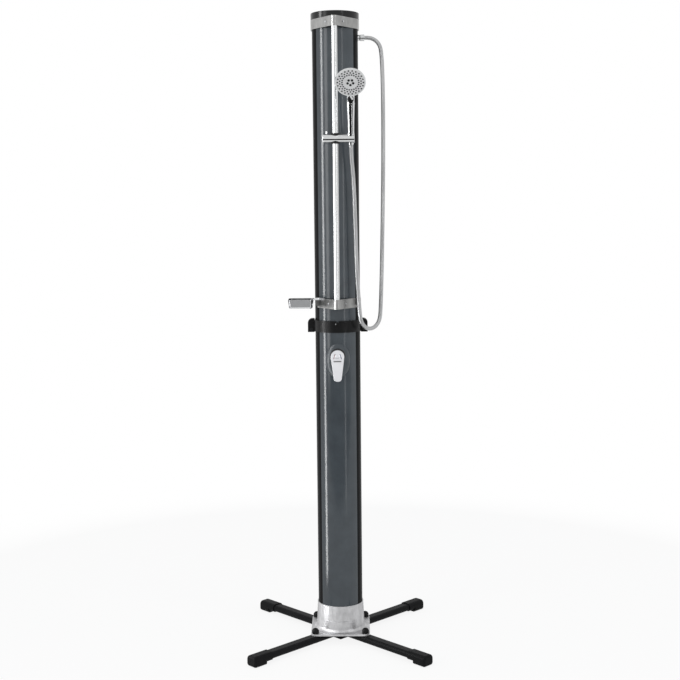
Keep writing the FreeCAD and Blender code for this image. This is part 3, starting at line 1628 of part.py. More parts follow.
# ---- all pieces ----
def pieces():
    """Every piece by name."""
    bands = ((upper_band_z, upper_band_inner), (lower_band_z, lower_band_inner))
    screws = [screw for z, inner in bands for screw in band_screws(z, inner).Solids]
    return {
        "leg_bar_left": leg(45, True),
        "leg_bar_right": leg(-45, False),
        "foot_caps": foot_caps(),
        "cross_plate": cross_plate(),
        "base_casting": casting(),
        "base_bolts": at_bolts(base_bolt),
        "base_nuts": at_bolts(base_nut),
        "bolt_covers": at_bolts(bolt_dome),
        "tank_lower": tank_lower(),
        "tank_upper": tank_upper(),
        "front_panel_lower": panel_lower(),
        "front_panel_upper": panel_upper(),
        "tank_coupler": tank_coupler(),
        "tank_seals": tank_seals(),
        "tank_bottom_plug": tank_bottom_plug(),
        "top_cap": top_cap(),
        "collar_front": collar_front(),
        "collar_rear": collar(1),
        "collar_bolts": collar_bolts(),
        "collar_nuts": collar_nuts(),
        "collar_screw": collar_screw(),
        "rail": rail(),
        "rail_plugs": rail_plugs(),
        "band_upper": band_upper(),
        "band_lower": band_lower(),
        "band_screws": Part.makeCompound(screws),
        "rail_blocks": Part.makeCompound([rail_block(z, inner) for z, inner in bands]),
        "slider_bush": Part.makeCompound([slider_bush(1), slider_bush(-1)]),
        "slider_body": slider_body(),
        "lock_button": lock_button(),
        "lock_pawl": lock_pawl(),
        "holder": holder(),
        "holder_screw": holder_screw(),
        "cone_nut": cone_nut(),
        "cone_seal": cone_seal(),
        "handset_body": handset_body(),
        "neck_ring": neck_ring(),
        "neck_inlay": neck_inlay(),
        "selector_ring": selector_ring(),
        "spray_plate": spray_plate(),
        "nozzle_mat": nozzle_mat(),
        "spray_diverter": spray_diverter(),
        "outlet_pipe": outlet_pipe(),
        "hose_gasket": hose_gasket(),
        "hose_nut": hose_nut(),
        "shower_hose": shower_hose(),
        "mixer_body": mixer_body(),
        "mixer_cartridge": mixer_cartridge(),
        "mixer_bonnet": bonnet(),
        "mixer_spindle": spindle(),
        "pivot_pin": pivot_pin(),
        "mixer_lever": mixer_lever(),
        "lever_marks": lever_marks(),
        "escutcheon": escutcheon(),
        "cold_pipe": cold_pipe(),
        "hot_pipe": hot_pipe(),
        "mixed_pipe": mixed_pipe(),
        "inlet_tee": inlet_tee(),
        "inlet_connector": inlet_connector(),
        "soap_dish": soap_dish(),
    }


def main():
    """Write every piece."""
    os.makedirs("parts", exist_ok=True)
    for name, shape in pieces().items():
        for solid in shape.Solids:
            if not solid.isValid() or solid.Volume <= 0:
                print("check", name, solid.isValid(), solid.Volume)
        shape.exportStep("parts/" + name + ".step")


main()
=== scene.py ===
"""Looks for an outdoor shower post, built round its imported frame.

A round water column stands in a cast foot on two crossed bars.  In front of it a chrome rail
carries a slider with a hand shower, a metal hose loops from the column's side, a soap dish hangs
on the lower band, and a single-lever mixer sits at hip height.  Metres; the origin is on the
floor at the column's axis, +Z is up and the front is -Y.
"""

from __future__ import annotations

import json
import logging
import math
from dataclasses import dataclass, field
from enum import Enum
from typing import Sequence, Union
import bpy
from mathutils import Matrix, Vector


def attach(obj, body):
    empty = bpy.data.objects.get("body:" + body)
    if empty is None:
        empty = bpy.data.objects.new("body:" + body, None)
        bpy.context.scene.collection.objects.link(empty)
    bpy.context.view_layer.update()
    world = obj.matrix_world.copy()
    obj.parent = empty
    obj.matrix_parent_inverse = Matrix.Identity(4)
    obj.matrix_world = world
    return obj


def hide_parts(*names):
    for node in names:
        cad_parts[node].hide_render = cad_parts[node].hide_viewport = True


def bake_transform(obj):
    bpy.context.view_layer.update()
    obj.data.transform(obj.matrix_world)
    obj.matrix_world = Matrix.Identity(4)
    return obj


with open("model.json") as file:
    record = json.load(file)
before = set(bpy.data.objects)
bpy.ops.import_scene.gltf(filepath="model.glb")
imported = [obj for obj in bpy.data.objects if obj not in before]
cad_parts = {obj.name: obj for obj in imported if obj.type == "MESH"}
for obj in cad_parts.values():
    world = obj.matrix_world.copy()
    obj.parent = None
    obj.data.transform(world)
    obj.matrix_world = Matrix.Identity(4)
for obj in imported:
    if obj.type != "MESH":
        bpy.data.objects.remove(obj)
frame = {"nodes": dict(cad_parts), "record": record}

log = logging.getLogger("shower_post")

Colour = tuple[float, float, float]
Point = tuple[float, float, float]
Number = Union[float, "Sock"]

WHITE = (1.0, 1.0, 1.0)
TINY = 1e-9  # keeps a division from ending at zero
MIX_FIRST, MIX_SECOND, MIX_RESULT = 6, 7, 2  # the Mix node's colour sockets
SHOWN_TO = ("Is Camera Ray", "Is Glossy Ray", "Is Transmission Ray")


# ---------------------------------------------------------------- shader helpers
class Sock:
    """One shader value, with arithmetic that adds Math nodes."""

    def __init__(self, bench: "Bench", socket: bpy.types.NodeSocket) -> None:
        """Wrap an output socket of a tree."""
        self.bench = bench
        self.socket = socket

    def _with(self, operation: str, other: Number, swapped: bool = False) -> "Sock":
        """Add one Math node; swapped puts the other value first."""
        first, second = (other, self) if swapped else (self, other)
        return self.bench.calc(operation, first, second)

    def __add__(self, other: Number) -> "Sock":
        """Sum."""
        return self._with("ADD", other)

    def __radd__(self, other: Number) -> "Sock":
        """Sum, reflected."""
        return self._with("ADD", other, True)

    def __sub__(self, other: Number) -> "Sock":
        """Difference."""
        return self._with("SUBTRACT", other)

    def __rsub__(self, other: Number) -> "Sock":
        """Difference, reflected."""
        return self._with("SUBTRACT", other, True)

    def __mul__(self, other: Number) -> "Sock":
        """Product."""
        return self._with("MULTIPLY", other)

    def __rmul__(self, other: Number) -> "Sock":
        """Product, reflected."""
        return self._with("MULTIPLY", other, True)

    def __truediv__(self, other: Number) -> "Sock":
        """Quotient."""
        return self._with("DIVIDE", other)

    def __pow__(self, other: Number) -> "Sock":
        """Power."""
        return self._with("POWER", other)

    def __gt__(self, other: Number) -> "Sock":
        """One where this value is greater, nothing elsewhere."""
        return self._with("GREATER_THAN", other)

    def __lt__(self, other: Number) -> "Sock":
        """One where this value is less, nothing elsewhere."""
        return self._with("LESS_THAN", other)


Input = Union[float, Sequence[float], Sock]


class Bench:
    """Builds the nodes of one tree."""

    def __init__(self, tree: bpy.types.NodeTree) -> None:
        """Start with the given tree, emptied."""
        self.tree = tree
        self.tree.nodes.clear()

    def make(
        self,
        kind: str,
        settings: dict[str, object] | None = None,
        inputs: dict[str | int, Input] | None = None,
        out: str | int = 0,
    ) -> Sock:
        """Add one node.

        Args:
            kind: The node's type, without its ShaderNode prefix.
            settings: Properties, set before the sockets.
            inputs: A value or link for each socket, by name or number.
            out: The output that is wanted.

        Returns:
            That output.
        """
        node = self.tree.nodes.new("ShaderNode" + kind)
        for key, setting in (settings or {}).items():
            setattr(node, key, setting)
        for key, given in (inputs or {}).items():
            self.feed(node.inputs[key], given)
        return Sock(self, node.outputs[out] if node.outputs else None)

    def feed(self, socket: bpy.types.NodeSocket, given: Input) -> None:
        """Give one input its value or link.

        Args:
            socket: The input.
            given: A number, a tuple or another node's output.
        """
        if isinstance(given, Sock):
            self.tree.links.new(given.socket, socket)
        elif isinstance(given, (int, float)):
            socket.default_value = given
        else:
            wanted = len(socket.default_value)
            socket.default_value = tuple(given) + (1.0,) * (wanted - len(given))

    def calc(self, operation: str, *values: Input) -> Sock:
        """The result of one Math node on one or two values."""
        return self.make("Math", {"operation": operation}, dict(enumerate(values)))

    def length(self, vector: Sock) -> Sock:
        """A vector's length."""
        return self.make("VectorMath", {"operation": "LENGTH"}, {0: vector}, out="Value")

    def place(
        self,
        scale: Sequence[float] = (1.0, 1.0, 1.0),
        centre: Sequence[float] = (0.0, 0.0, 0.0),
    ) -> Sock:
        """Object coordinates, scaled about a centre.

        Args:
            scale: Factor along each axis.
            centre: The point that becomes the origin.

        Returns:
            The vector.
        """
        here = self.make("TexCoord", out="Object")
        shift = tuple(-c * s for c, s in zip(centre, scale))
        inputs = {"Vector": here, "Location": shift, "Scale": scale}
        return self.make("Mapping", {"vector_type": "POINT"}, inputs)

    def axes(self, vector: Sock) -> tuple[Sock, Sock, Sock]:
        """A vector's three parts.

        Args:
            vector: The vector.

        Returns:
            Its x, y and z.
        """
        parts = self.make("SeparateXYZ", None, {0: vector})
        outputs = parts.socket.node.outputs
        return Sock(self, outputs[0]), Sock(self, outputs[1]), Sock(self, outputs[2])

    def noise(self, where: Sock, scale: float, detail: float = 3.0, rough: float = 0.5) -> Sock:
        """A noise from nothing to one, by cells per metre, octaves and the finer octaves' share."""
        inputs = {"Vector": where, "Scale": scale, "Detail": detail, "Roughness": rough}
        return self.make("TexNoise", None, inputs)

    def span(
        self, value: Sock, low: float, high: float, start: float = 0.0, end: float = 1.0
    ) -> Sock:
        """Map low and high to start and end, and hold the value there outside them."""
        limits = {"From Min": low, "From Max": high, "To Min": start, "To Max": end}
        return self.make("MapRange", {"clamp": True}, {"Value": value, **limits})

    def fall(self, value: Sock, low: float, high: float) -> Sock:
        """One below low and nothing above high, with a straight fall between them."""
        return self.span(value, low, high, start=1.0, end=0.0)

    def blend(self, share: Input, first: Input, second: Input) -> Sock:
        """Mix two colours; the share is how much of the second."""
        inputs = {0: share, MIX_FIRST: first, MIX_SECOND: second}
        return self.make("Mix", {"data_type": "RGBA"}, inputs, out=MIX_RESULT)

    def bump(self, height: Sock, depth: float, before: Sock | None = None) -> Sock:
        """A bump from a height.

        Args:
            height: The height, between nothing and one.
            depth: Its real depth in metres.
            before: A bump underneath.

        Returns:
            The normal.
        """
        inputs: dict[str | int, Input] = {"Height": height, "Distance": depth, "Strength": 1.0}
        if before is not None:
            inputs["Normal"] = before
        return self.make("Bump", None, inputs)

    def any_of(self, *rays: str) -> Sock:
        """One for the named kinds of ray, nothing for the others.

        Args:
            rays: Names of the light path's outputs.

        Returns:
            The mask.
        """
        total = self.make("LightPath", out=rays[0])
        for ray in rays[1:]:
            total = total + self.make("LightPath", out=ray)
        return self.span(total, 0.0, 1.0)


class MaterialBench(Bench):
    """Builds one node material round its own shader."""

    def __init__(self, name: str) -> None:
        """Start a material.

        Args:
            name: The material's name.
        """
        self.material = bpy.data.materials.new(name)
        self.material.use_nodes = True
        super().__init__(self.material.node_tree)
        self.surface = self.make("BsdfPrincipled")
        self.shader = self.surface.socket.node

    def set(self, **values: Input) -> None:
        """Feed the shader's own sockets, named with underscores for spaces."""
        for key, given in values.items():
            self.feed(self.shader.inputs[key.replace("_", " ")], given)

    def clouded(
        self, noise: Sock, edges: tuple[float, float], colour: Colour, tones: tuple[float, float]
    ) -> Sock:
        """A colour that a noise carries between two tones of itself, over a part of its range."""
        first, second = (shade(colour, tone) for tone in tones)
        return self.blend(self.span(noise, *edges), first, second)

    def done(self, surface: Sock | None = None) -> bpy.types.Material:
        """Close the tree with its output, which shows the shader unless another is given."""
        self.make("OutputMaterial", None, {"Surface": surface or self.surface})
        return self.material


def shade(colour: Colour, factor: float) -> Colour:
    """A lighter or darker tone of a colour, by its brightness against it."""
    return tuple(min(1.0, c * factor) for c in colour)


# ---------------------------------------------------------------- finishes
class Marks(Enum):
    """What a metal's surface was worked with."""

    POLISHED = "polished"
    BRUSHED = "brushed round the column"
    TURNED = "turned on a lathe"
    DRAWN = "drawn lengthwise"
    CAST = "cast"


MARK_DEPTH = {
    Marks.POLISHED: 0.00001,
    Marks.BRUSHED: 0.00004,
    Marks.TURNED: 0.00004,
    Marks.DRAWN: 0.00004,
    Marks.CAST: 0.0004,
}
PIT_DEPTH = 0.000008
MARK_STRETCH = {  # cells per metre along each axis, and the finer octaves' share
    Marks.BRUSHED: ((5.0, 5.0, 1600.0), 0.7),
    Marks.TURNED: ((30.0, 1500.0, 30.0), 0.6),
    Marks.DRAWN: ((900.0, 900.0, 12.0), 0.6),
}


@dataclass(frozen=True)
class Metal:
    """A bare metal."""

    name: str
    colour: Colour
    roughness: float
    marks: Marks = Marks.POLISHED
    stains: float = 0.9

    def material(self) -> bpy.types.Material:
        """Build the metal's material.

        Returns:
            The material.
        """
        bench = MaterialBench(self.name)
        here = bench.place()
        smear = bench.noise(bench.place((1.0, 1.0, 0.45)), 38.0, detail=4.0, rough=0.6)
        fine = self.worked(bench)
        tone = bench.clouded(smear, (0.35, 0.7), self.colour, (1.0, self.stains))
        rough = self.roughness * (0.75 + smear * 0.5) + fine * (self.roughness * 0.35)
        pits = bench.noise(here, 900.0, detail=2.0)
        relief = bench.bump(fine, MARK_DEPTH[self.marks], bench.bump(pits, PIT_DEPTH))
        bench.set(Base_Color=tone, Roughness=rough, Metallic=1.0, Normal=relief)
        return bench.done()

    def worked(self, bench: Bench) -> Sock:
        """The tool marks as a height.

        Args:
            bench: The material being built.

        Returns:
            A value between nothing and one.
        """
        if self.marks in MARK_STRETCH:
            stretch, share = MARK_STRETCH[self.marks]
            return bench.noise(bench.place(stretch), 1.0, detail=2.0, rough=share)
        if self.marks is Marks.CAST:
            coarse = bench.noise(bench.place(), 140.0, detail=5.0, rough=0.65)
            return coarse * 0.7 + bench.noise(bench.place(), 620.0, detail=3.0) * 0.3
        return bench.noise(bench.place(), 260.0, detail=3.0, rough=0.55)


@dataclass(frozen=True)
class Plastic:
    """A moulded or extruded plastic."""

    name: str
    colour: Colour
    roughness: float
    grain: float = 0.00003
    grain_scale: float = 1400.0
    gloss: float = 0.2
    extruded: bool = False
    line_depth: float = 0.00004

    def material(self) -> bpy.types.Material:
        """Build the plastic's material.

        Returns:
            The material.
        """
        bench = MaterialBench(self.name)
        here = bench.place()
        cloud = bench.noise(here, 14.0, detail=4.0, rough=0.55)
        tone = bench.clouded(cloud, (0.35, 0.65), self.colour, (0.9, 1.1))
        grain = bench.noise(here, self.grain_scale, detail=2.0, rough=0.6)
        relief = bench.bump(grain, self.grain)
        if self.extruded:
            lines = bench.noise(bench.place((240.0, 240.0, 0.8)), 1.0, detail=3.0, rough=0.5)
            relief = bench.bump(lines, self.line_depth, relief)
            dust = bench.noise(bench.place((1.0, 1.0, 0.3)), 60.0, detail=5.0, rough=0.7)
            rough = self.roughness * (0.8 + dust * 0.5)
        else:
            scuff = bench.noise(bench.place((1.0, 1.0, 0.5)), 90.0, detail=5.0, rough=0.7)
            rough = self.roughness * (0.82 + scuff * 0.36)
        bench.set(Base_Color=tone, Roughness=rough, Normal=relief, Specular_IOR_Level=self.gloss)
        return bench.done()


@dataclass(frozen=True)
class PowderCoat:
    """Baked powder paint with a fine orange peel and a few worn scratches."""

    name: str
    colour: Colour
    roughness: float
    peel_depth: float = 0.00012
    gloss: float = 0.06

    def material(self) -> bpy.types.Material:
        """Build the paint's material.

        Returns:
            The material.
        """
        bench = MaterialBench(self.name)
        here = bench.place()
        peel = bench.noise(here, 520.0, detail=2.0, rough=0.5)
        cloud = bench.noise(here, 22.0, detail=4.0, rough=0.6)
        scratch = bench.noise(bench.place((18.0, 18.0, 240.0)), 1.0, detail=4.0, rough=0.75)
        worn = bench.span(scratch, 0.66, 0.78)
        tone = bench.clouded(cloud, (0.3, 0.7), self.colour, (0.85, 1.2))
        tone = bench.blend(worn * 0.35, tone, shade(self.colour, 2.2))
        bench.set(
            Base_Color=tone,
            Roughness=self.roughness * (0.85 + cloud * 0.3),
            Normal=bench.bump(peel, self.peel_depth),
            Specular_IOR_Level=self.gloss,
        )
        return bench.done()


@dataclass(frozen=True)
class HoseWinding:
    """The hose's wound metal skin, its turns following the hose's own length, with painted shade in
    the grooves between them.
    """

    name: str
    colour: Colour
    roughness: float
    turns: float
    seam_depth: float = 0.00012

    def material(self) -> bpy.types.Material:
        """Build the hose's material.

        Returns:
            The material.
        """
        bench = MaterialBench(self.name)
        route = bench.make("UVMap", {"uv_map": "length"})
        across, along, _ = bench.axes(route)
        phase = (along * self.turns + across) * (2 * math.pi)
        wave = bench.calc("SINE", phase) * 0.5 + 0.5
        seam = bench.fall(wave, 0.0, 0.22)
        cloud = bench.noise(bench.place(), 55.0, detail=4.0, rough=0.6)
        # painted shade: the grooves between the turns are drawn darker
        tone = bench.blend(seam * 0.55, self.colour, shade(self.colour, 0.3))
        rough = self.roughness * (0.8 + cloud * 0.4) + seam * 0.2
        relief = bench.bump(wave, self.seam_depth)
        bench.set(Base_Color=tone, Metallic=1.0, Roughness=rough, Normal=relief)
        return bench.done()


@dataclass(frozen=True)
class SprayFace:
    """The hand shower's pale face: fine turned rings, and a dark rubber collar at each nozzle."""

    name: str
    colour: Colour
    dark: Colour
    centre: Vector
    up: Vector
    rings: tuple[float, ...]
    arms: int
    twist: float
    collar: float
    collar_rim: float = 0.0004
    ring_rate: float = 5200.0

    def material(self) -> bpy.types.Material:
        """Build the face's material.

        Returns:
            The material.
        """
        bench = MaterialBench(self.name)
        here = bench.place(centre=tuple(self.centre))
        rings = bench.calc("SINE", bench.length(here) * self.ring_rate) * 0.5 + 0.5
        film = bench.noise(bench.place(), 120.0, detail=4.0, rough=0.6)
        tone = bench.clouded(film, (0.4, 0.75), self.colour, (1.0, 0.86))
        away = self.to_nozzle(bench, here)
        rubber = bench.fall(away, self.collar, self.collar + self.collar_rim)
        bench.set(
            Base_Color=bench.blend(rubber, tone, self.dark),
            Metallic=(1.0 - rubber) * 0.3,
            Roughness=0.24 + film * 0.12 + rubber * 0.2,
            Normal=bench.bump(rings, 0.00002),
        )
        return bench.done()

    def to_nozzle(self, bench: Bench, here: Sock) -> Sock:
        """How far a point of the face is from the nearest nozzle's axis.

        Args:
            bench: The material being built.
            here: The point, from the face's middle.

        Returns:
            The distance in metres.
        """
        side, _, _ = bench.axes(here)
        vectors = {0: here, 1: tuple(self.up)}
        rise = bench.make("VectorMath", {"operation": "DOT_PRODUCT"}, vectors, out="Value")
        radius = (side * side + rise * rise) ** 0.5
        turn = bench.calc("ARCTAN2", rise, side) / (2 * math.pi / self.arms)
        nearest: Number = 1.0
        for n, ring in enumerate(self.rings):
            step = turn + (self.arms + 0.5 - self.twist * n * self.arms / 360.0)
            share = bench.calc("FRACT", step) - 0.5
            along = share * (2 * math.pi * ring / self.arms)
            off = radius - ring
            away = (along * along + off * off) ** 0.5
            nearest = bench.calc("MINIMUM", nearest, away)
        return nearest


@dataclass(frozen=True)
class RingedBulge:
    """The bulge's grey skin, with painted shade: a dark ring round the lever's hub where the gap
    and the lever's shadow fall.
    """

    name: str
    colour: Colour
    dark: Colour
    centre: Point
    ring: tuple[float, float]
    ring_rim: float = 0.0008
    lip_width: float = 0.001
    gloss: float = 0.35

    def material(self) -> bpy.types.Material:
        """Build the bulge's material.

        Returns:
            The material.
        """
        bench = MaterialBench(self.name)
        from_axis = bench.place((1.0, 0.0, 1.0), self.centre)
        radius = bench.length(from_axis)
        inside, outside = self.ring
        # painted shade: a dark disc out to the ring's outer edge, round the lever's hub
        dark = bench.fall(radius, outside - self.ring_rim, outside)
        cloud = bench.noise(bench.place(), 16.0, detail=4.0, rough=0.55)
        skin = bench.clouded(cloud, (0.35, 0.65), self.colour, (0.92, 1.08))
        lip = bench.span(radius, inside, inside + self.lip_width)
        grain = bench.noise(bench.place(), 1400.0, detail=2.0, rough=0.6)
        bench.set(
            # painted shade: the ring takes the dark colour
            Base_Color=bench.blend(dark, skin, self.dark),
            Roughness=0.24 + cloud * 0.12 + dark * 0.1,
            Normal=bench.bump(lip * (1.0 - dark), 0.0004, bench.bump(grain, 0.00002)),
            Specular_IOR_Level=self.gloss,
        )
        return bench.done()


@dataclass(frozen=True)
class LeverChrome:
    """The lever's pale satin chrome, with a painted shade line where its hub steps down to its
    blade.
    """

    name: str
    colour: Colour
    dark: Colour
    step_height: float
    step_half: tuple[float, float]
    step_rim: float = 0.0015

    def material(self) -> bpy.types.Material:
        """Build the lever's material.

        Returns:
            The material.
        """
        bench = MaterialBench(self.name)
        side, depth, height = bench.axes(bench.place(centre=(0.0, PIVOT[1], self.step_height)))
        half_width, half_height = self.step_half
        across = bench.calc("ABSOLUTE", side)
        up = bench.calc("ABSOLUTE", height)
        # painted shade: a dark band across the lever's front at the step, standing for the shadow
        # line there
        step = bench.fall(across, half_width - self.step_rim, half_width)
        step = step * bench.fall(up, half_height * 0.5, half_height) * (depth < 0.0)
        film = bench.noise(bench.place(), 46.0, detail=4.0, rough=0.6)
        tone = bench.clouded(film, (0.35, 0.7), self.colour, (1.0, 0.93))
        bench.set(
            # painted shade: the step band takes the dark colour
            Base_Color=bench.blend(step, tone, self.dark),
            Metallic=0.3,
            Roughness=0.09 + film * 0.07 + step * 0.2,
            Normal=bench.bump(1.0 - step, 0.0006, bench.bump(film, 0.00001)),
        )
        return bench.done()


@dataclass(frozen=True)
class TrayChrome:
    """The soap dish's chrome: bright outside and filmed with soap, with painted shade darkening its
    inside faces.
    """

    name: str
    colour: Colour
    inside_painted_shade: Colour
    middle: Point
    half: Point
    taper: float
    wall: float = 0.99

    def material(self) -> bpy.types.Material:
        """Build the tray's material.

        Returns:
            The material.
        """
        bench = MaterialBench(self.name)
        x, y, z = bench.axes(bench.place(centre=self.middle))
        lean = (self.half[2] - z) * self.taper
        far_x = (bench.calc("ABSOLUTE", x) + lean) / self.half[0]
        far_y = (bench.calc("ABSOLUTE", y) + lean) / self.half[1]
        widest = bench.calc("MAXIMUM", far_x, far_y)
        # painted shade: this mask picks the dish's inside faces, which are drawn dark to stand for
        # the shade and dark reflections there
        inner = bench.fall(widest, self.wall, 1.0) * (z > -self.half[2])
        film = bench.noise(bench.place((1.0, 1.0, 0.6)), 70.0, detail=5.0, rough=0.65)
        # painted shade: the inside faces take the dark colour
        tone = bench.blend(inner, self.colour, self.inside_painted_shade)
        tone = bench.blend(bench.span(film, 0.45, 0.75) * 0.3, tone, shade(self.colour, 0.8))
        bench.set(
            Base_Color=tone,
            Metallic=0.6 + inner * 0.4,
            Roughness=0.06 + film * 0.06 + inner * 0.15,
            Normal=bench.bump(film, 0.00002),
        )
        return bench.done()


@dataclass(frozen=True)
class WarmCold:
    """The lever's two enamel marks, red to the left and blue to the right."""

    name: str
    warm: Colour
    cold: Colour

    def material(self) -> bpy.types.Material:
        """Build the enamel's material.

        Returns:
            The material.
        """
        bench = MaterialBench(self.name)
        side, _, _ = bench.axes(bench.place())
        chips = bench.noise(bench.place(), 2400.0, detail=3.0)
        tone = bench.blend(side > 0.0, self.warm, self.cold)
        bench.set(Base_Color=tone, Roughness=0.22 + chips * 0.15, Normal=bench.bump(chips, 0.00002))
        return bench.done()


Finish = Union[
    Metal, Plastic, PowderCoat, HoseWinding, SprayFace,
    RingedBulge, LeverChrome, TrayChrome, WarmCold,
]


class Paintbox:
    """Keeps one material for each finish."""

    def __init__(self) -> None:
        """Start with no materials."""
        self.made: dict[str, bpy.types.Material] = {}

    def of(self, finish: Finish) -> bpy.types.Material:
        """The finish's material, built at its first use.

        Args:
            finish: The finish.

        Returns:
            Its material.
        """
        if finish.name not in self.made:
            self.made[finish.name] = finish.material()
        return self.made[finish.name]

    def dress(self, piece: bpy.types.Object, finish: Finish) -> None:
        """Give a piece one material all over."""
        piece.data.materials.clear()
        piece.data.materials.append(self.of(finish))


HAND_FACE = Vector((0.052, -0.20557, 1.93040))
HAND_UP = Vector((0.0, -0.58779, 0.80902))
PIVOT = (0.0, -0.106, 1.0215)
TRAY_MIDDLE = (-0.124, -0.067, 1.2015)

CHROME = Metal("bright_chrome", (0.64, 0.65, 0.655), 0.06)
LEVER_CHROME = LeverChrome(
    "lever_chrome",
    (0.74, 0.74, 0.765),
    # painted shade: the colour of the shadow line at the lever's step
    (0.16, 0.16, 0.165),
    step_height=1.0079,
    step_half=(0.0145, 0.0028),
)
BAND_STEEL = Metal("brushed_band_steel", (0.37, 0.37, 0.365), 0.26, Marks.BRUSHED, stains=0.66)
ZINC = Metal("zinc_plated_steel", (0.50, 0.51, 0.52), 0.28, Marks.TURNED)
BLACK_STEEL = Metal("blackened_steel", (0.035, 0.035, 0.037), 0.35, Marks.TURNED)
CAST = Metal("cast_aluminium", (0.58, 0.58, 0.59), 0.40, Marks.CAST, stains=0.66)
BRASS = Metal("turned_brass", (0.66, 0.47, 0.22), 0.22, Marks.TURNED)
DRAWN = Metal("drawn_pipe", (0.55, 0.54, 0.52), 0.26, Marks.DRAWN)
EXTRUDED = {"grain": 0.00001, "grain_scale": 900.0, "extruded": True}
TANK = Plastic("gloss_black_tank", (0.0082, 0.0086, 0.0091), 0.3, gloss=0.02, **EXTRUDED)
PANEL = Plastic("grey_blue_panel", (0.053, 0.063, 0.072), 0.14, gloss=0.36, **EXTRUDED)
BLACK = Plastic("black_moulding", (0.008, 0.0082, 0.0086), 0.36, grain=0.00005, gloss=0.1)
LID = Plastic("lid_moulding", (0.0065, 0.0067, 0.0070), 0.2, gloss=0.28)
COLLAR = Plastic(
    "collar_moulding", (0.0055, 0.0056, 0.0060), 0.3, grain=0.00025, grain_scale=330.0, gloss=0.16
)
BUSH = Plastic("bush_plastic", (0.012, 0.0122, 0.013), 0.4)
FOOT = Plastic(
    "foot_cap_moulding", (0.008, 0.0082, 0.0086), 0.5, grain=0.0001, grain_scale=900.0, gloss=0.06
)
INNER = Plastic("inner_moulding", (0.22, 0.23, 0.24), 0.45)
RUBBER = Plastic("black_rubber", (0.012, 0.012, 0.013), 0.68, grain=0.00008, grain_scale=1100.0)
NOZZLE = Plastic("nozzle_rubber", (0.014, 0.0142, 0.015), 0.5, grain=0.00004, grain_scale=1500.0)
LEG_PAINT = PowderCoat("leg_powder_coat", (0.0085, 0.0087, 0.0094), 0.46)
HOSE_SKIN = HoseWinding("hose_winding", (0.46, 0.465, 0.47), 0.3, turns=540.0)
FACE = SprayFace(
    "spray_face",
    (0.56, 0.565, 0.57),
    (0.010, 0.010, 0.011),
    HAND_FACE,
    HAND_UP,
    rings=(0.0275, 0.035, 0.0423),
    arms=22,
    twist=8.0,
    collar=0.0026,
)
BULGE = RingedBulge(
    # the second colour is the painted shade of the ring round the lever
    "grey_bulge", (0.053, 0.063, 0.072), (0.008, 0.008, 0.009), PIVOT, ring=(0.0235, 0.0262)
)
TRAY = TrayChrome(
    "tray_chrome",
    (0.76, 0.77, 0.78),
    # painted shade: the dark colour of the dish's inside faces
    (0.07, 0.072, 0.075),
    TRAY_MIDDLE,
    half=(0.0425, 0.0385, 0.0135),
    taper=0.129,
)
ENAMEL = WarmCold("warm_and_cold_enamel", (0.15, 0.035, 0.035), (0.025, 0.045, 0.12))


# ---------------------------------------------------------------- modelling helpers
class Workshop:
    """Modelling steps that several pieces share, all by operators."""

    merge_distance = 0.00001
    flat_degrees = 0.6
    easing_segments = 2

    @staticmethod
    def deselect() -> None:
        """Leave nothing selected."""
        if bpy.context.mode != "OBJECT":
            bpy.ops.object.mode_set(mode="OBJECT")
        bpy.ops.object.select_all(action="DESELECT")

    @classmethod
    def take(cls, piece: bpy.types.Object) -> None:
        """Make one piece the only selected and active one."""
        cls.deselect()
        piece.select_set(True)
        bpy.context.view_layer.objects.active = piece

    @classmethod
    def smooth(cls, piece: bpy.types.Object, degrees: float = 30.0) -> None:
        """Shade a piece smooth; edges sharper than the angle stay sharp."""
        cls.take(piece)
        bpy.ops.object.shade_smooth_by_angle(angle=math.radians(degrees))

    @classmethod
    def rounded_copy(cls, node: str, edge: float, degrees: float = 32.0) -> bpy.types.Object:
        """A copy of a CAD node with its doubles merged and its edges eased.

        Args:
            node: The CAD node.
            edge: How wide its eased edges are; zero leaves them sharp.
            degrees: Edges sharper than this are eased.

        Returns:
            The copy, standing for the node.
        """
        cls.take(frame["nodes"][node])
        bpy.ops.object.duplicate()
        piece = bpy.context.view_layer.objects.active
        piece.parent = None
        for key in list(piece.keys()):
            del piece[key]
        piece.name = node + "_finished"
        piece.data.name = piece.name
        cls.take(piece)
        if piece.data.has_custom_normals:
            bpy.ops.mesh.customdata_custom_splitnormals_clear()
        bpy.ops.object.mode_set(mode="EDIT")
        bpy.ops.mesh.select_all(action="SELECT")
        bpy.ops.mesh.remove_doubles(threshold=cls.merge_distance)
        bpy.ops.mesh.dissolve_limited(angle_limit=math.radians(cls.flat_degrees))
        bpy.ops.object.mode_set(mode="OBJECT")
        if edge > 0:
            easing = piece.modifiers.new("eased edges", "BEVEL")
            easing.width = edge
            easing.segments = cls.easing_segments
            easing.limit_method = "ANGLE"
            easing.angle_limit = math.radians(degrees)
            easing.use_clamp_overlap = True
            easing.miter_outer = "MITER_ARC"
            bpy.ops.object.modifier_apply(modifier=easing.name)
        cls.smooth(piece)
        flats = piece.modifiers.new("true flats", "WEIGHTED_NORMAL")
        flats.keep_sharp = True
        bpy.ops.object.modifier_apply(modifier=flats.name)
        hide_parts(node)
        return piece


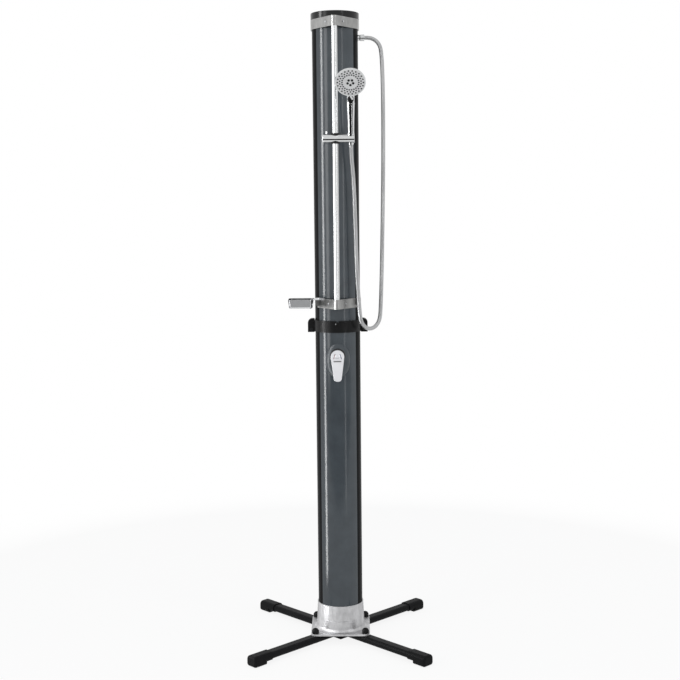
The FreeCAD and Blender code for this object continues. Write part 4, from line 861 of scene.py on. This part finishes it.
# ---------------------------------------------------------------- studio
@dataclass
class Studio:
    """Floor, light and camera."""

    eye: Vector = field(default_factory=lambda: Vector((0.06585, -4.21995, 1.54442)))
    lens: float = 64.41
    pitch_down: float = 6.4515
    yaw: float = 0.796
    roll: float = -0.573
    floor_size: float = 60.0
    floor_glow: float = 0.88
    fade: tuple[float, float] = (0.25, 2.4)
    flag_reach: tuple[float, float] = (2.0, 9.0)
    flag_width: float = 12.0
    flag_height: float = 0.002
    air: float = 0.6
    aim_height: float = 1.1
    sensor_width: float = 36.0

    def build(self) -> None:
        """Make all of it."""
        scene = bpy.context.scene
        scene.view_settings.view_transform = "Standard"
        self.floor()
        self.dark_flag()
        self.world(scene)
        self.lamps()
        self.camera(scene)

    def floor(self) -> None:
        """A pale floor, white in the distance."""
        Workshop.deselect()
        bpy.ops.mesh.primitive_plane_add(size=self.floor_size, location=(0, 0, 0))
        floor = bpy.context.object
        floor.name = "studio_floor"
        bench = MaterialBench("pale_floor")
        radius = bench.length(bench.place())
        smooth = {"clamp": True, "interpolation_type": "SMOOTHERSTEP"}
        limits = {"From Min": self.fade[0], "From Max": self.fade[1]}
        far = bench.make("MapRange", smooth, {"Value": radius, **limits})
        speck = bench.noise(bench.place(), 300.0, detail=3.0)
        tone = bench.blend(speck, shade(WHITE, 0.86), shade(WHITE, 0.9))
        bench.set(Base_Color=tone, Roughness=0.7, Specular_IOR_Level=0.0)
        seen = bench.any_of(*SHOWN_TO)
        share = bench.calc("MAXIMUM", far, seen * self.floor_glow)
        glow = bench.make("Emission", None, {"Color": WHITE, "Strength": 1.0})
        mixed = bench.make("MixShader", None, {0: share, 1: bench.surface, 2: glow})
        floor.data.materials.append(bench.done(mixed))

    def dark_flag(self) -> None:
        """A dark flag lying in front, which only shiny skins that lean down show."""
        near, far = self.flag_reach
        middle = (0, -(near + far) / 2, self.flag_height)
        Workshop.deselect()
        bpy.ops.mesh.primitive_plane_add(size=1.0, location=middle)
        flag = bpy.context.object
        flag.name = "studio_flag"
        flag.scale = (self.flag_width, far - near, 1.0)
        bench = MaterialBench("dark_flag_cloth")
        bench.set(Base_Color=(0.02, 0.02, 0.021), Roughness=0.9, Specular_IOR_Level=0.0)
        flag.data.materials.append(bench.done())
        flag.visible_camera = False
        flag.visible_diffuse = False
        flag.visible_shadow = False
        flag.visible_transmission = False

    def world(self, scene: bpy.types.Scene) -> None:
        """White to the eye and in reflections, a softer grey as light.

        Args:
            scene: The scene.
        """
        world = bpy.data.worlds.new("studio_air")
        scene.world = world
        world.use_nodes = True
        bench = Bench(world.node_tree)
        seen = bench.any_of(*SHOWN_TO)
        light = bench.make("Background", None, {"Color": (0.97, 0.985, 1.0), "Strength": self.air})
        shown = bench.make("Background", None, {"Color": WHITE, "Strength": 1.0})
        mixed = bench.make("MixShader", None, {0: seen, 1: light, 2: shown})
        bench.make("OutputWorld", None, {"Surface": mixed})

    def lamp(
        self,
        name: str,
        place: Vector,
        size: tuple[float, float],
        watts: float,
        mirrored: bool = False,
        lighting: bool = True,
    ) -> None:
        """One rectangular lamp that faces the column's middle.

        Args:
            name: The lamp's name.
            place: Where it stands.
            size: Its width and height.
            watts: Its power.
            mirrored: Whether shiny surfaces show it.
            lighting: Whether it lights matt surfaces too.
        """
        data = bpy.data.lights.new(name, "AREA")
        data.shape = "RECTANGLE"
        data.size, data.size_y = size
        data.energy = watts
        lamp = bpy.data.objects.new(name, data)
        bpy.context.scene.collection.objects.link(lamp)
        lamp.location = place
        facing = Vector((0, 0, self.aim_height)) - place
        lamp.rotation_euler = facing.to_track_quat("-Z", "Y").to_euler()
        lamp.visible_glossy = mirrored
        lamp.visible_diffuse = lighting
        lamp.visible_camera = False

    def lamps(self) -> None:
        """Two tall soft boxes in front and one above light the object.

        Shiny skins show the left box, and two narrow strips that light nothing matt.
        """
        shown_only = {"mirrored": True, "lighting": False}
        self.lamp("left_soft_box", Vector((-2.6, -2.4, 1.6)), (0.9, 2.4), 24, mirrored=True)
        self.lamp("right_soft_box", Vector((2.8, -2.2, 1.6)), (0.9, 2.4), 22)
        self.lamp("top_soft_box", Vector((0, -0.6, 4.0)), (2.4, 2.4), 24)
        self.lamp("left_strip", Vector((-0.759, -0.295, 1.1)), (0.13, 3.4), 20, **shown_only)
        self.lamp("right_strip", Vector((1.25, -1.75, 1.1)), (0.1, 3.4), 5, **shown_only)

    def camera(self, scene: bpy.types.Scene) -> None:
        """The camera at the photograph's place.

        Args:
            scene: The scene.
        """
        data = bpy.data.cameras.new("photo_camera")
        data.lens = self.lens
        data.sensor_width = self.sensor_width
        camera = bpy.data.objects.new("photo_camera", data)
        scene.collection.objects.link(camera)
        aim = Matrix.Rotation(math.radians(self.yaw), 4, "Z")
        aim = aim @ Matrix.Rotation(math.radians(90 - self.pitch_down), 4, "X")
        aim = aim @ Matrix.Rotation(math.radians(self.roll), 4, "Z")
        camera.matrix_world = Matrix.Translation(self.eye) @ aim
        scene.camera = camera


# ---------------------------------------------------------------- hose
@dataclass
class Hose:
    """The metal hose from the side outlet to the hand shower."""

    radius: float = 0.007
    ripple: float = 0.00028
    pitch: float = 0.0032
    sides: int = 20
    rings_per_turn: int = 4
    end_length: float = 0.036
    end_radius: float = 0.0064
    resolution: int = 24
    crease: float = 60.0
    start: Vector = field(default_factory=lambda: Vector((0.1001, 0.0, 2.099)))

    def points(self) -> list[tuple[float, float, float]]:
        """The route's points.

        Returns:
            Points in metres, from the outlet to the hand shower's nut.
        """
        return [
            (0.1001, 0.0, 2.099),
            (0.1173, 0.0, 2.099),
            (0.1338, -0.0001, 2.0929),
            (0.1466, -0.0002, 2.0815),
            (0.1546, -0.0004, 2.0663),
            (0.1582, -0.0007, 2.036),
            (0.1608, -0.0015, 1.984),
            (0.162, -0.003, 1.9),
            (0.1623, -0.006, 1.79),
            (0.1613, -0.01, 1.66),
            (0.1588, -0.014, 1.52),
            (0.156, -0.0175, 1.39),
            (0.1528, -0.02, 1.268),
            (0.1498, -0.0216, 1.19),
            (0.1473, -0.0222, 1.1465),
            (0.1381, -0.0307, 1.1248),
            (0.1222, -0.0455, 1.1123),
            (0.1038, -0.0625, 1.1123),
            (0.0879, -0.0773, 1.1248),
            (0.0787, -0.0858, 1.1465),
            (0.0753, -0.0864, 1.19),
            (0.07, -0.0876, 1.268),
            (0.0665, -0.0886, 1.355),
            (0.0645, -0.0898, 1.46),
            (0.0615, -0.0915, 1.565),
            (0.0575, -0.095, 1.645),
            (0.052, -0.10091, 1.69640),
            (0.052, -0.11249, 1.73677),
        ]

    def spline_path(self) -> list[Vector]:
        """Points read from the route's smooth spline.

        Returns:
            Points along the hose, close together.
        """
        curve = bpy.data.curves.new("hose_route", "CURVE")
        curve.dimensions = "3D"
        curve.resolution_u = self.resolution
        spline = curve.splines.new("NURBS")
        route = self.points()
        spline.points.add(len(route) - 1)
        for point, place in zip(spline.points, route):
            point.co = (*place, 1.0)
        spline.order_u = 3
        spline.use_endpoint_u = True
        holder = bpy.data.objects.new("hose_route", curve)
        bpy.context.scene.collection.objects.link(holder)
        bpy.context.view_layer.update()
        mesh = bpy.data.meshes.new_from_object(holder)
        path = [v.co.copy() for v in mesh.vertices]
        bpy.data.objects.remove(holder)
        bpy.data.meshes.remove(mesh)
        if (path[0] - self.start).length > (path[-1] - self.start).length:
            path.reverse()
        return path

    def even(self, path: list[Vector], step: float) -> list[Vector]:
        """The same path with evenly spaced points.

        Args:
            path: The path.
            step: The wanted spacing.

        Returns:
            The evenly spaced points.
        """
        lengths = [0.0]
        for a, b in zip(path, path[1:]):
            lengths.append(lengths[-1] + (b - a).length)
        count = max(2, round(lengths[-1] / step))
        found = []
        k = 0
        for n in range(count + 1):
            wanted = lengths[-1] * n / count
            while k < len(path) - 2 and lengths[k + 1] < wanted:
                k += 1
            share = (wanted - lengths[k]) / max(lengths[k + 1] - lengths[k], TINY)
            found.append(path[k].lerp(path[k + 1], min(1.0, max(0.0, share))))
        return found

    def tube(self, name: str, path: list[Vector], radius: float) -> bpy.types.Object:
        """A rippled, closed tube round a path, unwrapped along its length.

        Args:
            name: Its name.
            path: The points that it follows.
            radius: Its radius at the ripples' tops.

        Returns:
            The tube.
        """
        vertices: list[Vector] = []
        faces: list[tuple[int, ...]] = []
        across = Vector((0, 1, 0))
        for n, centre in enumerate(path):
            ahead = path[min(n + 1, len(path) - 1)] - path[max(n - 1, 0)]
            ahead.normalize()
            across = (across - ahead * across.dot(ahead)).normalized()
            other = ahead.cross(across)
            for k in range(self.sides):
                turn = 2 * math.pi * k / self.sides
                phase = 2 * math.pi * n / self.rings_per_turn + turn
                reach = radius - self.ripple * (0.5 - 0.5 * math.cos(phase))
                vertices.append(centre + (across * math.cos(turn) + other * math.sin(turn)) * reach)
        for n in range(len(path) - 1):
            for k in range(self.sides):
                a = n * self.sides + k
                b = n * self.sides + (k + 1) % self.sides
                faces.append((a, b, b + self.sides, a + self.sides))
        last = (len(path) - 1) * self.sides
        faces.append(tuple(reversed(range(self.sides))))
        faces.append(tuple(range(last, last + self.sides)))
        mesh = bpy.data.meshes.new(name)
        mesh.from_pydata(vertices, [], faces)
        mesh.update()
        self.unwrap(mesh, len(path))
        piece = bpy.data.objects.new(name, mesh)
        bpy.context.scene.collection.objects.link(piece)
        Workshop.smooth(piece, self.crease)
        return piece

    def unwrap(self, mesh: bpy.types.Mesh, rings: int) -> None:
        """Lay the tube's own length and turn into a UV map.

        Args:
            mesh: The tube's mesh.
            rings: How many rings it has.
        """
        layer = mesh.uv_layers.new(name="length")
        for face in mesh.polygons:
            turns = [mesh.loops[c].vertex_index % self.sides for c in face.loop_indices]
            wraps = 0 in turns and self.sides - 1 in turns
            for corner, side in zip(face.loop_indices, turns):
                ring = mesh.loops[corner].vertex_index // self.sides
                across = self.sides if wraps and side == 0 else side
                layer.data[corner].uv = (across / self.sides, ring / rings)

    def build(self, paints: Paintbox) -> None:
        """Args:
            paints: The materials.
        """
        path = self.even(self.spline_path(), self.pitch / self.rings_per_turn)
        total = sum((b - a).length for a, b in zip(path, path[1:]))
        hose = self.tube("metal_hose", path, self.radius)
        paints.dress(hose, HOSE_SKIN)
        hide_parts("shower_hose")
        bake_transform(hose)
        end_rings = round(self.end_length / self.pitch) * self.rings_per_turn
        end = self.tube("metal_hose_end", path[-end_rings:], self.end_radius)
        paints.dress(end, HOSE_SKIN)
        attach(end, "handset")
        [tuple(p) for p in path[:: 2 * self.rings_per_turn]] + [tuple(path[-1])]
        log.info("hose of %.2f m", total)


# ---------------------------------------------------------------- sub-assemblies
class Kit:
    """What every sub-assembly does with the frame's own nodes."""

    def __init__(self, paints: Paintbox) -> None:
        """Read which body and slot each node has.

        Args:
            paints: The materials.
        """
        self.paints = paints
        record = frame["record"]
        self.slots = {s["node"]: s["material_slot"] for s in record["subparts"]}
        bodies = record["behaviour"]["bodies"]
        self.body_of = {node: body for body, nodes in bodies.items() for node in nodes}

    def plain(self, finish: Finish, *nodes: str) -> None:
        """Dress nodes whose own mesh shows, or that stay hidden inside.

        Args:
            finish: Their finish.
            nodes: The nodes.
        """
        for node in nodes:
            self.paints.dress(frame["nodes"][node], finish)
            log.info("dressed %s", node)

    def eased(self, finish: Finish, edge: float, *nodes: str) -> None:
        """Stand merged copies with eased edges in for nodes, and dress them.

        Args:
            finish: Their finish.
            edge: How wide the eased edges are; zero leaves them sharp.
            nodes: The nodes.
        """
        for node in nodes:
            piece = Workshop.rounded_copy(node, edge)
            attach(piece, self.body_of[node])
            self.paints.dress(piece, finish)
            self.paints.dress(frame["nodes"][node], finish)
            log.info("eased %s", node)


@dataclass
class FloorStand:
    """The crossed bars with their caps, and the cast foot bolted on them."""

    casting_edge: float = 0.0012
    cover_edge: float = 0.0006

    def build(self, kit: Kit) -> None:
        """Dress the bars, their caps and the foot.

        Args:
            kit: Where nodes are dressed.
        """
        kit.eased(LEG_PAINT, 0.0, "leg_bar_left", "leg_bar_right")
        kit.plain(LEG_PAINT, "cross_plate")
        kit.eased(FOOT, 0.0, "foot_caps")
        kit.eased(CAST, self.casting_edge, "base_casting")
        kit.plain(ZINC, "base_bolts", "base_nuts")
        kit.eased(BLACK, self.cover_edge, "bolt_covers")


@dataclass
class Column:
    """The two tanks with their grey fronts, the lid and the collar between them."""

    tank_edge: float = 0.0004
    lid_edge: float = 0.0006
    collar_edge: float = 0.0008

    def build(self, kit: Kit) -> None:
        """Dress the tanks, the lid and the collar.

        Args:
            kit: Where nodes are dressed.
        """
        kit.eased(TANK, self.tank_edge, "tank_lower", "tank_upper")
        kit.eased(PANEL, 0.0, "front_panel_lower", "front_panel_upper")
        kit.plain(INNER, "tank_coupler", "tank_bottom_plug")
        kit.plain(RUBBER, "tank_seals")
        kit.eased(LID, self.lid_edge, "top_cap")
        kit.eased(COLLAR, self.collar_edge, "collar_front", "collar_rear")
        kit.plain(BLACK_STEEL, "collar_bolts", "collar_nuts")
        kit.plain(ZINC, "collar_screw")


@dataclass
class RailAndBands:
    """The chrome rail between its two steel bands."""

    band_edge: float = 0.0003
    screw_edge: float = 0.0004
    block_edge: float = 0.0005

    def build(self, kit: Kit) -> None:
        """Dress the rail, the bands and their blocks.

        Args:
            kit: Where nodes are dressed.
        """
        kit.eased(CHROME, 0.0, "rail")
        kit.plain(BLACK, "rail_plugs")
        kit.eased(BAND_STEEL, self.band_edge, "band_upper", "band_lower")
        kit.eased(ZINC, self.screw_edge, "band_screws")
        kit.eased(BLACK, self.block_edge, "rail_blocks")


@dataclass
class Slider:
    """The cross bar on the rail, its release button and the tilting holder."""

    bar_edge: float = 0.0003

    def build(self, kit: Kit) -> None:
        """Dress the bar, its button and the holder.

        Args:
            kit: Where nodes are dressed.
        """
        kit.plain(BUSH, "slider_bush", "lock_pawl")
        kit.eased(CHROME, self.bar_edge, "slider_body", "holder")
        kit.eased(CHROME, 0.0, "lock_button")
        kit.plain(ZINC, "holder_screw")


@dataclass
class HandShower:
    """The hand shower with its selector rim, spray face and conical nut."""

    nut_edge: float = 0.0004
    inlay_edge: float = 0.0003
    rim_edge: float = 0.0005

    def build(self, kit: Kit) -> None:
        """Dress the hand shower.

        Args:
            kit: Where nodes are dressed.
        """
        kit.eased(CHROME, self.nut_edge, "cone_nut", "neck_ring")
        kit.eased(CHROME, 0.0, "handset_body")
        kit.eased(CHROME, self.rim_edge, "selector_ring")
        kit.eased(BLACK, self.inlay_edge, "neck_inlay")
        kit.eased(FACE, 0.0, "spray_plate")
        kit.eased(NOZZLE, 0.0, "nozzle_mat")
        kit.plain(RUBBER, "cone_seal")
        kit.plain(INNER, "spray_diverter")


@dataclass
class SideOutlet:
    """The hose's outlet on the column's right."""

    edge: float = 0.0003

    def build(self, kit: Kit) -> None:
        """Dress the outlet, its gasket and the hose nut."""
        kit.eased(CHROME, self.edge, "outlet_pipe", "hose_nut")
        kit.eased(RUBBER, self.edge, "hose_gasket")


@dataclass
class Mixer:
    """The single lever, its bonnet, and the valve behind them."""

    lever_edge: float = 0.0006
    bonnet_edge: float = 0.0002
    bulge_edge: float = 0.0005

    def build(self, kit: Kit) -> None:
        """Dress the mixer.

        Args:
            kit: Where nodes are dressed.
        """
        kit.eased(LEVER_CHROME, self.lever_edge, "mixer_lever")
        kit.eased(CHROME, self.bonnet_edge, "mixer_bonnet")
        kit.eased(ENAMEL, self.bonnet_edge, "lever_marks")
        kit.eased(BULGE, self.bulge_edge, "escutcheon")
        kit.plain(BRASS, "mixer_body", "mixer_spindle")
        kit.plain(ZINC, "pivot_pin")
        kit.plain(INNER, "mixer_cartridge")


@dataclass
class WaterWays:
    """The pipes inside the tanks and the hose connector at the back."""

    connector_edge: float = 0.0003

    def build(self, kit: Kit) -> None:
        """Dress the pipes, the tee and the connector.

        Args:
            kit: Where nodes are dressed.
        """
        kit.plain(DRAWN, "cold_pipe", "hot_pipe", "mixed_pipe")
        kit.plain(BRASS, "inlet_tee")
        kit.eased(BRASS, self.connector_edge, "inlet_connector")


@dataclass
class SoapDish:
    """The open tray hooked on the lower band."""

    rim_edge: float = 0.0005

    def build(self, kit: Kit) -> None:
        """Dress the tray."""
        kit.eased(TRAY, self.rim_edge, "soap_dish")


def main() -> None:
    """Build the whole scene in order."""
    logging.basicConfig(level=logging.INFO, format="%(message)s")
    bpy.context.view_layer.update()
    Studio().build()
    paints = Paintbox()
    kit = Kit(paints)
    Hose().build(paints)
    stand = (FloorStand, Column, RailAndBands, Slider)
    fittings = (HandShower, SideOutlet, Mixer, WaterWays, SoapDish)
    for part in stand + fittings:
        part().build(kit)
        log.info("%s done", part.__name__)


if __name__ == "__main__":
    main()
